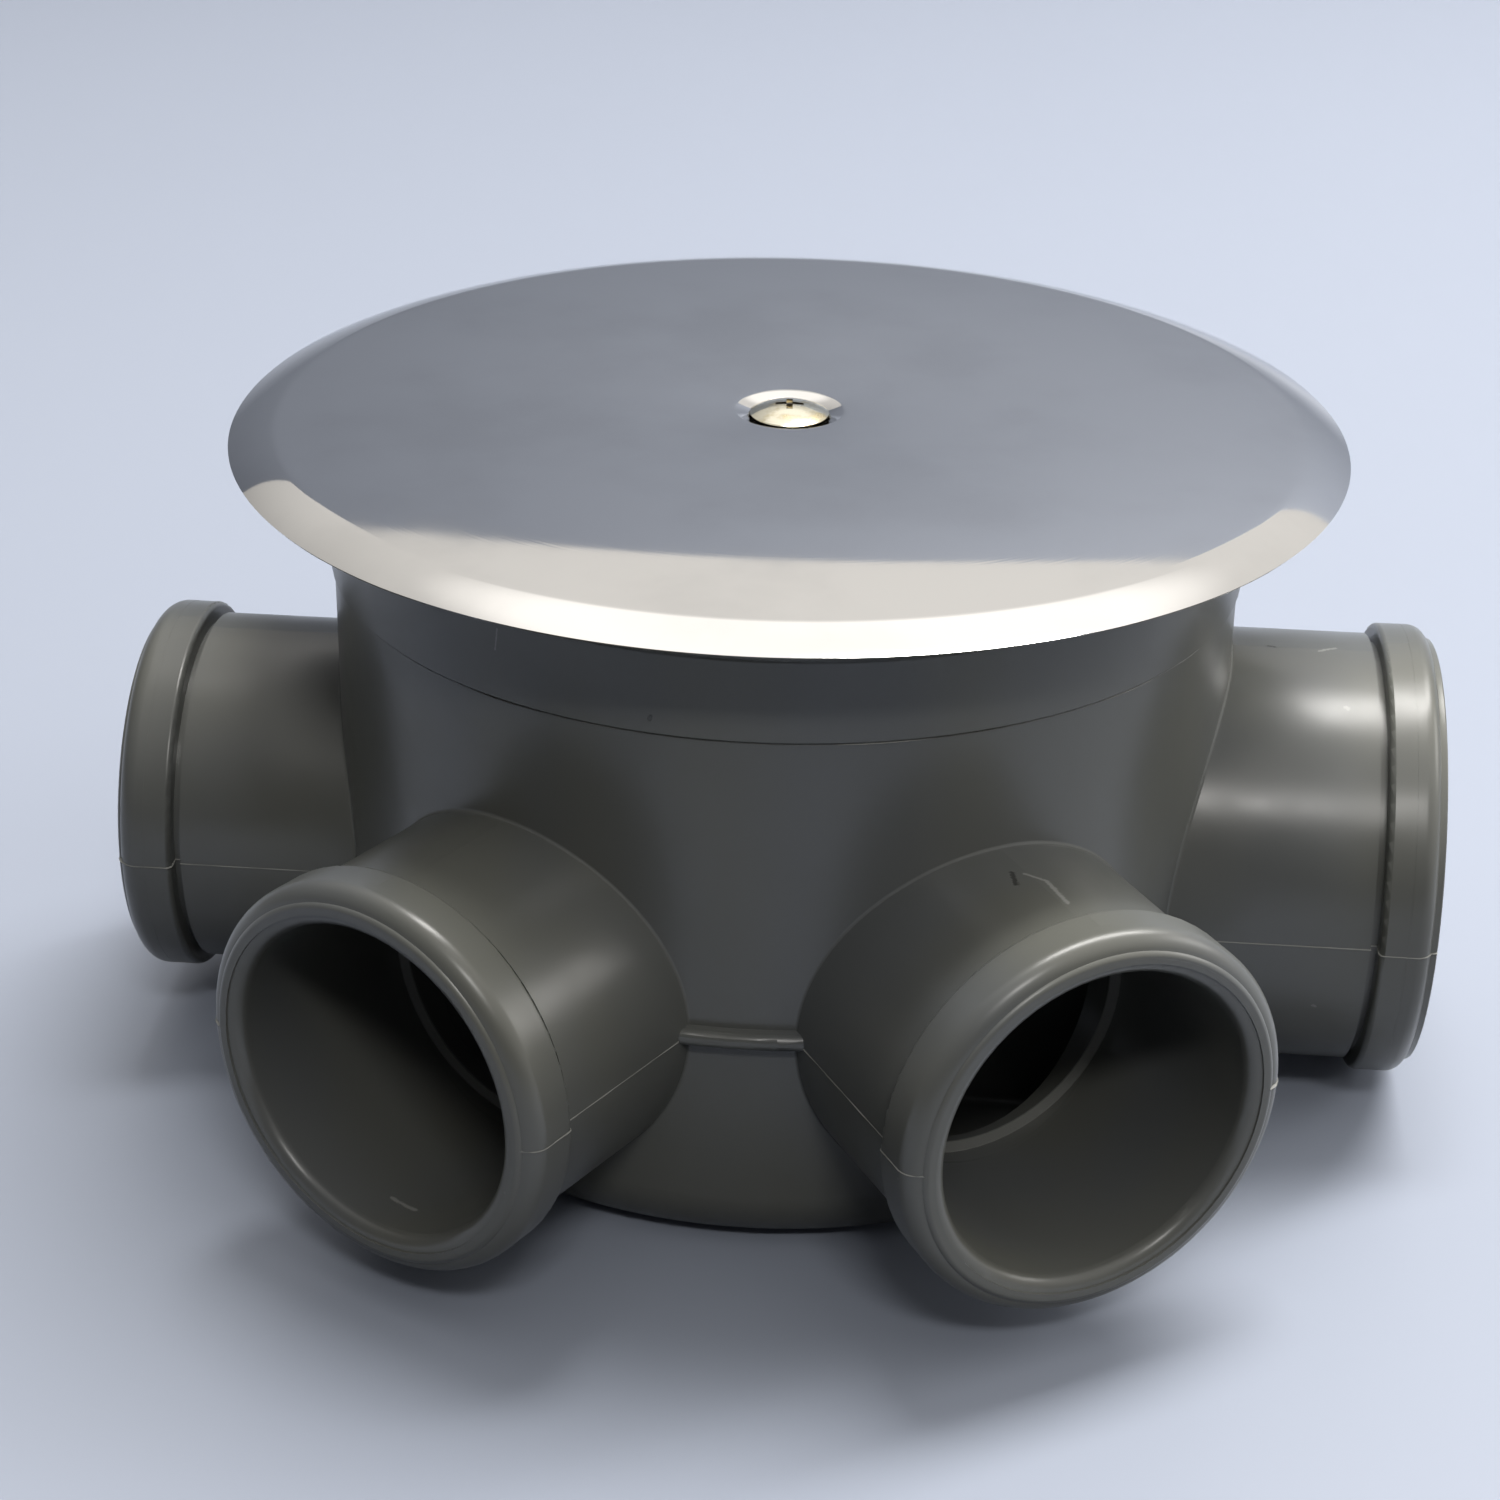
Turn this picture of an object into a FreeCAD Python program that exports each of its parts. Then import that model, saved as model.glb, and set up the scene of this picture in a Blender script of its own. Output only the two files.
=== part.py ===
import FreeCAD, Part
import os

import Sketcher

# Floor trap: a round PVC chamber with six pipe sockets, a screw plug and a polished cover on top.
# Millimetres, +Z up. The origin is the centre of the base, and the outlet points along +X.

# Driving dimensions: name, value, meaning
SIZES = [
    # chamber
    ("wall", 3.6, "thickness of the chamber wall"),
    ("floor", 3.6, "thickness of the chamber floor"),
    ("base_round", 8.2, "outer radius between wall and base"),
    ("floor_round", 4.6, "inner radius between wall and floor"),
    ("body_top", 82.2, "height of the collar's top face"),
    ("collar_line", 71.1, "height where the collar begins"),
    ("collar_step", 0.4, "how far the collar stands proud of the wall"),
    ("collar_edge", 0.8, "radius on the collar's outer edge"),
    ("collar_lead", 0.7, "bevel at the mouth of the collar"),
    # bead along the parting plane of the mould
    ("ridge_height", 2.1, "height of the bead"),
    ("ridge_drop", 0.7, "how far the bead reaches below the parting plane"),
    ("ridge_proud", 2.0, "how far the bead stands out of the wall"),
    ("ridge_round", 0.9, "radius on the bead's edges"),
    # pipe sockets
    ("socket_lift", 2.65, "from the base up to the underside of the outlet"),
    ("inlet_bore", 20.15, "radius of an inlet socket, for 40 mm pipe"),
    ("outlet_bore", 25.15, "radius of the outlet socket, for 50 mm pipe"),
    ("inlet_depth", 29.5, "how far a pipe goes into an inlet"),
    ("outlet_depth", 29.5, "how far a pipe goes into the outlet"),
    ("stop_step", 1.5, "height of the shoulder that stops the pipe"),
    ("socket_length", 27.2, "from the chamber's wall to a socket's mouth"),
    ("socket_gap", 6.5, "between the outlet and the inlets beside it, at the chamber's wall"),
    ("socket_wall", 3.6, "thickness of a socket"),
    ("root_round", 0.35, "radius where a socket meets the chamber"),
    ("bead_height", 1.45, "how far the mouth's bead stands proud"),
    ("bead_land", 3.9, "length of the bead behind its rounded front"),
    ("heel_round", 0.7, "radius on the bead's rear edge"),
    ("nose_length", 1.9, "length of the bead's rounded front"),
    ("nose_drop", 1.5, "from the bead's flat down to the end of its rounded front"),
    ("nose_round", 2.0, "radius of the bead's rounded front"),
    ("dip_length", 0.8, "length of the hollow between the bead's front and the lip"),
    ("dip_drop", 0.3, "from the end of the bead's front down to the lip"),
    ("lip_round", 0.9, "radius on the lip's outer edge"),
    ("groove_width", 1.0, "width of the groove behind the bead"),
    ("groove_depth", 1.1, "depth of the groove behind the bead"),
    ("mouth_round", 1.7, "radius on the mouth's inner edge"),
    ("mouth_step", 0.25, "fine step between that edge and the lip"),
    ("socket_angle", 60.0, "angle between neighbouring sockets"),
    ("inlet_count", 5, "number of inlets"),
    # weir wall in front of the outlet
    ("weir_height", 64.0, "height of the weir's crest"),
    ("weir_wall", 2.4, "thickness of the weir wall"),
    ("weir_gap", 0.25, "from the outlet's through bore to the weir wall"),
    ("weir_leg", 35.4, "from the chamber's inner wall to where the weir wall bends round"),
    ("weir_foot", 1.2, "radius at the foot of the weir wall"),
    # screw plug and gasket
    ("gasket_height", 1.8, "thickness of the gasket"),
    ("gasket_edge", 0.3, "bevel on the gasket's edges"),
    ("gasket_gap", 0.5, "from the plug's skirt to the gasket"),
    ("flange_height", 2.5, "thickness of the plug's flange"),
    ("flange_inset", 1.0, "how far the flange stays inside the collar"),
    ("flange_edge", 0.8, "radius on the flange's edge"),
    ("thread_room", 1.8, "from the collar's bore to the plug's skirt, where the threads mesh"),
    ("skirt_length", 10.0, "length of the plug's skirt under the flange"),
    ("skirt_wall", 3.0, "thickness of the plug's skirt"),
    ("plate", 3.0, "thickness of the plug's bottom"),
    ("post_radius", 8.0, "radius of the plug's centre post"),
    ("post_drop", 0.3, "from the flange's top down to the post's top"),
    ("grip_width", 6.0, "thickness of the plug's grip bar"),
    ("grip_drop", 2.0, "from the flange's top down to the grip bar's top"),
    # brass insert
    ("insert_radius", 3.5, "outer radius of the insert"),
    ("insert_length", 8.4, "length of the insert"),
    ("insert_fit", 0.02, "play between insert and post"),
    ("insert_groove", 0.5, "depth of the groove that keys the insert"),
    ("insert_band", 2.6, "length of each knurled band"),
    # cover
    ("cover_overhang", 12.3, "how far the cover reaches past the collar"),
    ("sheet", 1.0, "thickness of the cover's sheet"),
    ("hole_radius", 2.75, "hole in the cover for the screw"),
    ("seat_width", 0.8, "flat ring on which the cover sits"),
    ("dimple_radius", 6.95, "outer radius of the dimple"),
    ("dimple_dip", 0.6, "from the dimple's edge down to the screw's seat"),
    ("crown_share", 0.5, "where the cover is highest, as a share of the way out to its shoulder"),
    ("crown_rise", 0.55, "from the dimple's edge up to that ring"),
    ("edge_width", 5.7, "width of the rolled edge, outside the shoulder"),
    ("shoulder_drop", 1.05, "from the highest ring down to the shoulder"),
    ("edge_drop", 1.75, "from the shoulder down to the edge"),
    ("edge_round", 26.0, "radius of the rolled edge"),
    ("edge_lip", 0.55, "height of the cut edge"),
    # screw
    ("screw_radius", 2.4, "radius of the screw's shank"),
    ("screw_play", 0.1, "play between shank and insert"),
    ("head_radius", 5.1, "radius of the screw's head"),
    ("head_play", 0.15, "play under the screw's head"),
    ("head_rim", 0.15, "height of the head's cylindrical rim"),
    ("head_crown", 1.25, "height of the head's raised crown"),
    ("screw_length", 11.6, "from the head's rim to the screw's tip"),
    ("tip_bevel", 0.6, "bevel at the screw's tip"),
    ("cross_length", 3.6, "length of the cross recess in the screw's head"),
    ("cross_width", 0.8, "width of the cross recess"),
    ("cross_depth", 0.35, "depth of the cross recess"),
    ("cross_angle", 94.0, "direction of the cross recess, from +X"),
    ("pit_radius", 0.65, "radius of the pit in the middle of the cross recess"),
    ("pit_depth", 1.7, "depth of that pit"),
]

# Values that several pieces share
INLET_PIPE = "(Sizes.inlet_bore + Sizes.socket_wall)"
OUTLET_PIPE = "(Sizes.outlet_bore + Sizes.socket_wall)"
AXIS_HEIGHT = f"({OUTLET_PIPE} + Sizes.socket_lift)"
OUTER = f"(({INLET_PIPE} + {OUTLET_PIPE} + Sizes.socket_gap) / (2 * sin(Sizes.socket_angle / 2)))"
INNER = f"({OUTER} - Sizes.wall)"
COLLAR = f"({OUTER} + Sizes.collar_step)"
MOUTH = f"({OUTER} + Sizes.socket_length)"
WEIR_INSIDE = "(Sizes.outlet_bore - Sizes.stop_step + Sizes.weir_gap)"
WEIR_OUTSIDE = f"({WEIR_INSIDE} + Sizes.weir_wall)"
WEIR_CENTRE = f"({INNER} - Sizes.weir_leg)"
SKIRT = f"({INNER} - Sizes.thread_room)"
FLANGE_RADIUS = f"({COLLAR} - Sizes.flange_inset)"
FLANGE_BOTTOM = "(Sizes.body_top + Sizes.gasket_height)"
FLANGE_TOP = f"({FLANGE_BOTTOM} + Sizes.flange_height)"
PLUG_BOTTOM = f"({FLANGE_BOTTOM} - Sizes.skirt_length)"
POST_TOP = f"({FLANGE_TOP} - Sizes.post_drop)"
COVER = f"({COLLAR} + Sizes.cover_overhang)"
SHOULDER = f"({COVER} - Sizes.edge_width)"
CROWN = f"({SHOULDER} * Sizes.crown_share)"
CONE_TOP = f"({POST_TOP} + Sizes.sheet + Sizes.head_radius - Sizes.hole_radius)"
DIMPLE_TOP = f"({CONE_TOP} + Sizes.dimple_dip)"
CROWN_TOP = f"({DIMPLE_TOP} + Sizes.crown_rise)"
SHOULDER_TOP = f"({CROWN_TOP} - Sizes.shoulder_drop)"
EDGE_TOP = f"({SHOULDER_TOP} - Sizes.edge_drop)"
HEAD_RIM = f"({CONE_TOP} + Sizes.head_play)"
INSIDE_A_WALL = "Sizes.wall / 2"

doc = FreeCAD.newDocument("FloorTrap")


def make_sheet():
    """Writes the driving dimensions into a sheet, one aliased cell each."""
    cells = doc.addObject("Spreadsheet::Sheet", "Sizes")
    for row, (name, value, meaning) in enumerate(SIZES, start=1):
        cells.set(f"A{row}", meaning)
        cells.set(f"B{row}", str(value))
        cells.setAlias(f"B{row}", name)
    doc.recompute()
    return cells


sheet = make_sheet()


def number(expression):
    """The present value of an expression on the sheet."""
    return float(sheet.evalExpression(expression))


def new_body(label):
    body = doc.addObject("PartDesign::Body", label)
    body.Label = label
    body.Placement = FreeCAD.Placement()
    return body


def origin_of(body, role):
    return next(item for item in body.Origin.OriginFeatures if item.Role == role)


def new_sketch(body, name, plane, lift=None, turn=None):
    """A sketch on one of the body's origin planes.

    lift raises it along Z. turn swings an upright plane about Z, so that it holds that direction.
    """
    sketch = body.newObject("Sketcher::SketchObject", name)
    sketch.AttachmentSupport = (origin_of(body, plane), [""])
    sketch.MapMode = "FlatFace"
    up = "z" if plane == "XY_Plane" else "y"
    if turn is not None:
        axis = FreeCAD.Vector(0, 0, 1) if up == "z" else FreeCAD.Vector(0, 1, 0)
        sketch.AttachmentOffset = FreeCAD.Placement(FreeCAD.Vector(), FreeCAD.Rotation(axis, number(turn)))
        sketch.setExpression("AttachmentOffset.Rotation.Angle", turn)
    if lift is not None:
        sketch.setExpression(f"AttachmentOffset.Base.{up}", lift)
    doc.recompute()
    return sketch


def bend(start, end, radius, side):
    """The short arc from start to end that bulges to the left or the right of the way there."""
    way = end - start
    middle = (start + end) / 2
    left = FreeCAD.Vector(-way.y, way.x, 0) / way.Length
    outward = left if side == "left" else -left
    centre = middle - outward * max(radius**2 - (way.Length / 2) ** 2, 0) ** 0.5
    return Part.Arc(start, centre + outward * radius, end)


def hold(sketch, kind, expression, *where):
    """Adds a dimension to a sketch and binds it to the sheet."""
    index = sketch.addConstraint(Sketcher.Constraint(kind, *where, number(expression)))
    sketch.setExpression(f"Constraints[{index}]", expression)


def outline(sketch, corners):
    """Draws a closed outline through corners, each given by two expressions: across and up.

    A corner with two more values, a radius and a side, is followed by an arc instead of a straight line.
    """
    points = [FreeCAD.Vector(number(corner[0]), number(corner[1]), 0) for corner in corners]
    ends = []
    for corner, start, end in zip(corners, points, points[1:] + points[:1]):
        if len(corner) == 2:
            edge = sketch.addGeometry(Part.LineSegment(start, end), False)
            first = 1
        else:
            edge = sketch.addGeometry(bend(start, end, number(corner[2]), corner[3]), False)
            first = 1 if sketch.getPoint(edge, 1).distanceToPoint(start) < 1e-6 else 2
            hold(sketch, "Radius", corner[2], edge)
        ends.append((edge, first, 3 - first))
    earlier = ends[-1:] + ends[:-1]
    for corner, point, (edge, first, _), (before, _, last) in zip(corners, points, ends, earlier):
        sketch.addConstraint(Sketcher.Constraint("Coincident", before, last, edge, first))
        for kind, axis, distance, expression in (
            ("DistanceX", -2, point.x, corner[0]),
            ("DistanceY", -1, point.y, corner[1]),
        ):
            if abs(distance) < 1e-9:
                sketch.addConstraint(Sketcher.Constraint("PointOnObject", edge, first, axis))
            else:
                hold(sketch, kind, expression, -1, 1, edge, first)
    doc.recompute()


def turned(body, name, sketch, axis, cut=False):
    """A full turn of a sketch about one of its own axes, added to the body or cut from it."""
    kind = "PartDesign::Groove" if cut else "PartDesign::Revolution"
    before = body.Shape.Volume if cut else 0.0
    feature = body.newObject(kind, name)
    feature.Profile = sketch
    feature.ReferenceAxis = (sketch, [axis])
    feature.Angle = 360
    doc.recompute()
    if cut and feature.Shape.Volume >= before:
        raise RuntimeError(f"{name} cuts nothing")
    return feature


def repeated_round(body, name, feature):
    """Copies the first inlet's feature round the chamber to all the inlets."""
    pattern = body.newObject("PartDesign::PolarPattern", name)
    pattern.Originals = [feature]
    pattern.Axis = (origin_of(body, "Z_Axis"), [""])
    pattern.setExpression("Angle", "Sizes.socket_angle * (Sizes.inlet_count - 1)")
    pattern.setExpression("Occurrences", "Sizes.inlet_count")
    body.Tip = pattern
    doc.recompute()
    return pattern


def raised(body, name, sketch, height):
    """A straight pad on a sketch."""
    pad = body.newObject("PartDesign::Pad", name)
    pad.Profile = sketch
    pad.setExpression("Length", height)
    doc.recompute()
    return pad


def rounded(body, name, feature, wanted, radius):
    """Rounds the edges of a feature that the test wanted picks."""
    chosen = [f"Edge{i}" for i, edge in enumerate(feature.Shape.Edges, start=1) if wanted(edge)]
    fillet = body.newObject("PartDesign::Fillet", name)
    fillet.Base = (feature, chosen)
    fillet.setExpression("Radius", radius)
    doc.recompute()
    return fillet


def places_along(edge):
    """Three points on an edge, away from its ends."""
    first, last = edge.ParameterRange
    return [edge.valueAt(first + (last - first) * share) for share in (0.25, 0.5, 0.75)]


# Trap body


def chamber_outline():
    return [
        ("0", "0"),
        (f"{OUTER} - Sizes.base_round", "0", "Sizes.base_round", "right"),
        (OUTER, "Sizes.base_round"),
        (OUTER, "Sizes.collar_line"),
        (COLLAR, "Sizes.collar_line + Sizes.collar_step"),
        (COLLAR, "Sizes.body_top - Sizes.collar_edge", "Sizes.collar_edge", "right"),
        (f"{COLLAR} - Sizes.collar_edge", "Sizes.body_top"),
        ("0", "Sizes.body_top"),
    ]


def socket_outline(pipe):
    """Half section of a socket's outside, along its axis: pipe, groove, bead, rounded nose, dip and lip."""
    bead = f"({pipe} + Sizes.bead_height)"
    nose_foot = f"({bead} - Sizes.nose_drop)"
    lip = f"({nose_foot} - Sizes.dip_drop)"
    dip_end = f"({MOUTH} - Sizes.lip_round)"
    nose_end = f"({dip_end} - Sizes.dip_length)"
    nose_start = f"({nose_end} - Sizes.nose_length)"
    land_start = f"({nose_start} - Sizes.bead_land)"
    groove_start = f"({land_start} - Sizes.groove_width)"
    groove_floor = f"({pipe} - Sizes.groove_depth)"
    dip_round = "((Sizes.dip_length^2 + Sizes.dip_drop^2) / (2 * Sizes.dip_drop))"
    return [
        (f"{OUTER} / 2", "0"),
        (MOUTH, "0"),
        (MOUTH, f"{lip} - Sizes.lip_round", "Sizes.lip_round", "right"),
        (dip_end, lip, dip_round, "left"),
        (nose_end, nose_foot, "Sizes.nose_round", "right"),
        (nose_start, bead),
        (f"{land_start} + Sizes.heel_round", bead, "Sizes.heel_round", "right"),
        (land_start, f"{bead} - Sizes.heel_round"),
        (land_start, groove_floor),
        (groove_start, groove_floor),
        (groove_start, pipe),
        (f"{OUTER} / 2", pipe),
    ]


def ridge_outline():
    foot = f"({INNER} + {INSIDE_A_WALL})"
    face = f"({OUTER} + Sizes.ridge_proud)"
    bottom = f"({AXIS_HEIGHT} - Sizes.ridge_drop)"
    top = f"({bottom} + Sizes.ridge_height)"
    return [
        (foot, bottom),
        (f"{face} - Sizes.ridge_round", bottom, "Sizes.ridge_round", "right"),
        (face, f"{bottom} + Sizes.ridge_round"),
        (face, f"{top} - Sizes.ridge_round", "Sizes.ridge_round", "right"),
        (f"{face} - Sizes.ridge_round", top),
        (foot, top),
    ]


def hollow_outline():
    above = "(Sizes.body_top + Sizes.collar_lead)"
    return [
        ("0", "Sizes.floor"),
        (f"{INNER} - Sizes.floor_round", "Sizes.floor", "Sizes.floor_round", "right"),
        (INNER, "Sizes.floor + Sizes.floor_round"),
        (INNER, "Sizes.body_top - Sizes.collar_lead"),
        (f"{INNER} + 2 * Sizes.collar_lead", above),
        ("0", above),
    ]


def bore_outline(bore, depth):
    """Half section of a socket's bore, along its axis: through bore, shoulder, bore and rounded mouth."""
    through = f"({bore} - Sizes.stop_step)"
    inner_end = f"({INNER} - Sizes.wall * 3)"
    stop = f"({MOUTH} - {depth})"
    step = f"({MOUTH} - Sizes.mouth_step)"
    outside = f"({MOUTH} + Sizes.mouth_step)"
    mouth = f"({bore} + Sizes.mouth_round)"
    return [
        (inner_end, "0"),
        (outside, "0"),
        (outside, mouth),
        (step, mouth, "Sizes.mouth_round", "left"),
        (f"{step} - Sizes.mouth_round", bore),
        (stop, bore),
        (stop, through),
        (inner_end, through),
    ]


def weir_outline():
    """Plan of the weir wall: two straight legs from the chamber's wall, joined by a half circle."""
    leg_end = f"sqrt(({INNER} + {INSIDE_A_WALL})^2 - {WEIR_OUTSIDE}^2)"
    return [
        (leg_end, f"-{WEIR_OUTSIDE}"),
        (leg_end, f"-{WEIR_INSIDE}"),
        (WEIR_CENTRE, f"-{WEIR_INSIDE}", WEIR_INSIDE, "left"),
        (f"{WEIR_CENTRE} - {WEIR_INSIDE}", "0", WEIR_INSIDE, "left"),
        (WEIR_CENTRE, WEIR_INSIDE),
        (leg_end, WEIR_INSIDE),
        (leg_end, WEIR_OUTSIDE),
        (WEIR_CENTRE, WEIR_OUTSIDE, WEIR_OUTSIDE, "right"),
        (f"{WEIR_CENTRE} - {WEIR_OUTSIDE}", "0", WEIR_OUTSIDE, "right"),
        (WEIR_CENTRE, f"-{WEIR_OUTSIDE}"),
    ]


def is_socket_root(edge):
    """Does this edge run where a socket meets the chamber's wall?"""
    points = places_along(edge)
    on_wall = all(abs(FreeCAD.Vector(p.x, p.y, 0).Length - number(OUTER)) < 0.01 for p in points)
    level = max(p.z for p in points) - min(p.z for p in points) < 0.01
    return on_wall and not level and points[1].z < number("Sizes.collar_line")


def is_weir_foot(edge):
    """Does this edge run where the weir wall meets the floor?"""
    on_floor = all(abs(p.z - number("Sizes.floor")) < 0.01 for p in places_along(edge))
    return on_floor and abs(places_along(edge)[1].x) < number(INNER) - number("Sizes.floor_round")


def make_trap_body():
    body = new_body("trap_body")

    chamber = new_sketch(body, "ChamberOutline", "XZ_Plane")
    outline(chamber, chamber_outline())
    turned(body, "Chamber", chamber, "V_Axis")

    outlet = new_sketch(body, "OutletOutline", "XZ_Plane", lift=AXIS_HEIGHT)
    outline(outlet, socket_outline(OUTLET_PIPE))
    turned(body, "Outlet", outlet, "H_Axis")

    first_inlet = {"lift": AXIS_HEIGHT, "turn": "Sizes.socket_angle"}
    inlet = new_sketch(body, "InletOutline", "XZ_Plane", **first_inlet)
    outline(inlet, socket_outline(INLET_PIPE))
    sockets = repeated_round(body, "Inlets", turned(body, "Inlet", inlet, "H_Axis"))

    rounded(body, "SocketRoots", sockets, is_socket_root, "Sizes.root_round")

    ridge = new_sketch(body, "RidgeOutline", "XZ_Plane")
    outline(ridge, ridge_outline())
    turned(body, "Ridge", ridge, "V_Axis")

    hollow = new_sketch(body, "HollowOutline", "XZ_Plane")
    outline(hollow, hollow_outline())
    turned(body, "Hollow", hollow, "V_Axis", cut=True)

    weir = new_sketch(body, "WeirPlan", "XY_Plane", lift="Sizes.floor")
    outline(weir, weir_outline())
    wall = raised(body, "Weir", weir, "Sizes.weir_height - Sizes.floor")
    rounded(body, "WeirFoot", wall, is_weir_foot, "Sizes.weir_foot")

    outlet_bore = new_sketch(body, "OutletBoreOutline", "XZ_Plane", lift=AXIS_HEIGHT)
    outline(outlet_bore, bore_outline("Sizes.outlet_bore", "Sizes.outlet_depth"))
    turned(body, "OutletBore", outlet_bore, "H_Axis", cut=True)

    inlet_bore = new_sketch(body, "InletBoreOutline", "XZ_Plane", **first_inlet)
    outline(inlet_bore, bore_outline("Sizes.inlet_bore", "Sizes.inlet_depth"))
    repeated_round(body, "InletBores", turned(body, "InletBore", inlet_bore, "H_Axis", cut=True))
    return body


# Screw plug, gasket and insert


def plug_outline():
    """Half section of the plug: flange, threaded skirt, bottom plate and centre post."""
    skirt_inside = f"({SKIRT} - Sizes.skirt_wall)"
    plate_top = f"({PLUG_BOTTOM} + Sizes.plate)"
    return [
        ("0", PLUG_BOTTOM),
        (SKIRT, PLUG_BOTTOM),
        (SKIRT, FLANGE_BOTTOM),
        (FLANGE_RADIUS, FLANGE_BOTTOM),
        (FLANGE_RADIUS, f"{FLANGE_TOP} - Sizes.flange_edge", "Sizes.flange_edge", "right"),
        (f"{FLANGE_RADIUS} - Sizes.flange_edge", FLANGE_TOP),
        (skirt_inside, FLANGE_TOP),
        (skirt_inside, plate_top),
        ("Sizes.post_radius", plate_top),
        ("Sizes.post_radius", POST_TOP),
        ("0", POST_TOP),
    ]


def grip_outline():
    half_length = f"({SKIRT} - Sizes.skirt_wall / 2)"
    half_width = "(Sizes.grip_width / 2)"
    return [
        (f"-{half_length}", f"-{half_width}"),
        (half_length, f"-{half_width}"),
        (half_length, half_width),
        (f"-{half_length}", half_width),
    ]


def insert_room_outline():
    radius = "(Sizes.insert_radius + Sizes.insert_fit)"
    bottom = f"({POST_TOP} - Sizes.insert_length)"
    above = f"({POST_TOP} + Sizes.sheet)"
    return [("0", bottom), (radius, bottom), (radius, above), ("0", above)]


def make_access_plug():
    body = new_body("access_plug")

    section = new_sketch(body, "PlugOutline", "XZ_Plane")
    outline(section, plug_outline())
    turned(body, "Plug", section, "V_Axis")

    grip = new_sketch(body, "GripPlan", "XY_Plane", lift=f"{PLUG_BOTTOM} + Sizes.plate / 2")
    outline(grip, grip_outline())
    raised(body, "Grip", grip, "Sizes.skirt_length + Sizes.flange_height - Sizes.grip_drop - Sizes.plate / 2")

    room = new_sketch(body, "InsertRoomOutline", "XZ_Plane")
    outline(room, insert_room_outline())
    turned(body, "InsertRoom", room, "V_Axis", cut=True)
    return body


def make_thread_insert():
    """A bush with two knurled bands and a keying groove between them."""
    body = new_body("thread_insert")
    bottom = f"({POST_TOP} - Sizes.insert_length)"
    bore = "(Sizes.screw_radius + Sizes.screw_play)"
    groove = "(Sizes.insert_radius - Sizes.insert_groove)"
    lower_band = f"({bottom} + Sizes.insert_band)"
    upper_band = f"({POST_TOP} - Sizes.insert_band)"
    section = new_sketch(body, "InsertOutline", "XZ_Plane")
    outline(
        section,
        [
            (bore, bottom),
            ("Sizes.insert_radius", bottom),
            ("Sizes.insert_radius", lower_band),
            (groove, lower_band),
            (groove, upper_band),
            ("Sizes.insert_radius", upper_band),
            ("Sizes.insert_radius", POST_TOP),
            (bore, POST_TOP),
        ],
    )
    turned(body, "Insert", section, "V_Axis")
    return body


def make_plug_gasket():
    """A flat ring with bevelled outer edges, between the collar and the plug's flange."""
    body = new_body("plug_gasket")
    inside = f"({SKIRT} + Sizes.gasket_gap)"
    section = new_sketch(body, "GasketOutline", "XZ_Plane")
    outline(
        section,
        [
            (inside, "Sizes.body_top"),
            (f"{FLANGE_RADIUS} - Sizes.gasket_edge", "Sizes.body_top"),
            (FLANGE_RADIUS, "Sizes.body_top + Sizes.gasket_edge"),
            (FLANGE_RADIUS, f"{FLANGE_BOTTOM} - Sizes.gasket_edge"),
            (f"{FLANGE_RADIUS} - Sizes.gasket_edge", FLANGE_BOTTOM),
            (inside, FLANGE_BOTTOM),
        ],
    )
    turned(body, "Gasket", section, "V_Axis")
    return body


# Cover and screw


def dish_round(width, height):
    """Radius of an arc that leaves its highest point level and falls by height over width."""
    return f"(({width})^2 + ({height})^2) / (2 * ({height}))"


def make_cover_plate():
    """A pressed disc: countersunk dimple, a dished middle, a ring where it is highest and a rolled edge."""
    body = new_body("cover_plate")
    inner_dish = dish_round(f"{CROWN} - Sizes.dimple_radius", "Sizes.crown_rise")
    outer_dish = dish_round(f"{SHOULDER} - {CROWN}", "Sizes.shoulder_drop")
    section = new_sketch(body, "CoverOutline", "XZ_Plane")
    outline(
        section,
        [
            ("Sizes.hole_radius", POST_TOP),
            ("Sizes.hole_radius + Sizes.seat_width", POST_TOP),
            ("Sizes.head_radius + Sizes.sheet", f"{CONE_TOP} - Sizes.sheet / 2"),
            ("Sizes.dimple_radius", f"{DIMPLE_TOP} - Sizes.sheet", inner_dish, "left"),
            (CROWN, f"{CROWN_TOP} - Sizes.sheet", outer_dish, "left"),
            (SHOULDER, f"{SHOULDER_TOP} - Sizes.sheet", "Sizes.edge_round", "left"),
            (f"{COVER} - Sizes.sheet", f"{EDGE_TOP} - Sizes.edge_lip"),
            (COVER, EDGE_TOP, "Sizes.edge_round", "right"),
            (SHOULDER, SHOULDER_TOP, outer_dish, "right"),
            (CROWN, CROWN_TOP, inner_dish, "right"),
            ("Sizes.dimple_radius", DIMPLE_TOP),
            ("Sizes.head_radius", CONE_TOP),
            ("Sizes.hole_radius", f"{POST_TOP} + Sizes.sheet"),
        ],
    )
    turned(body, "Cover", section, "V_Axis")
    return body


def cross_outline():
    """Plan of a cross recess: two arms of the same length that cross in the middle."""
    end = "(Sizes.cross_length / 2)"
    side = "(Sizes.cross_width / 2)"
    return [
        (end, f"-{side}"),
        (end, side),
        (side, side),
        (side, end),
        (f"-{side}", end),
        (f"-{side}", side),
        (f"-{end}", side),
        (f"-{end}", f"-{side}"),
        (f"-{side}", f"-{side}"),
        (f"-{side}", f"-{end}"),
        (side, f"-{end}"),
        (side, f"-{side}"),
    ]


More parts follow.
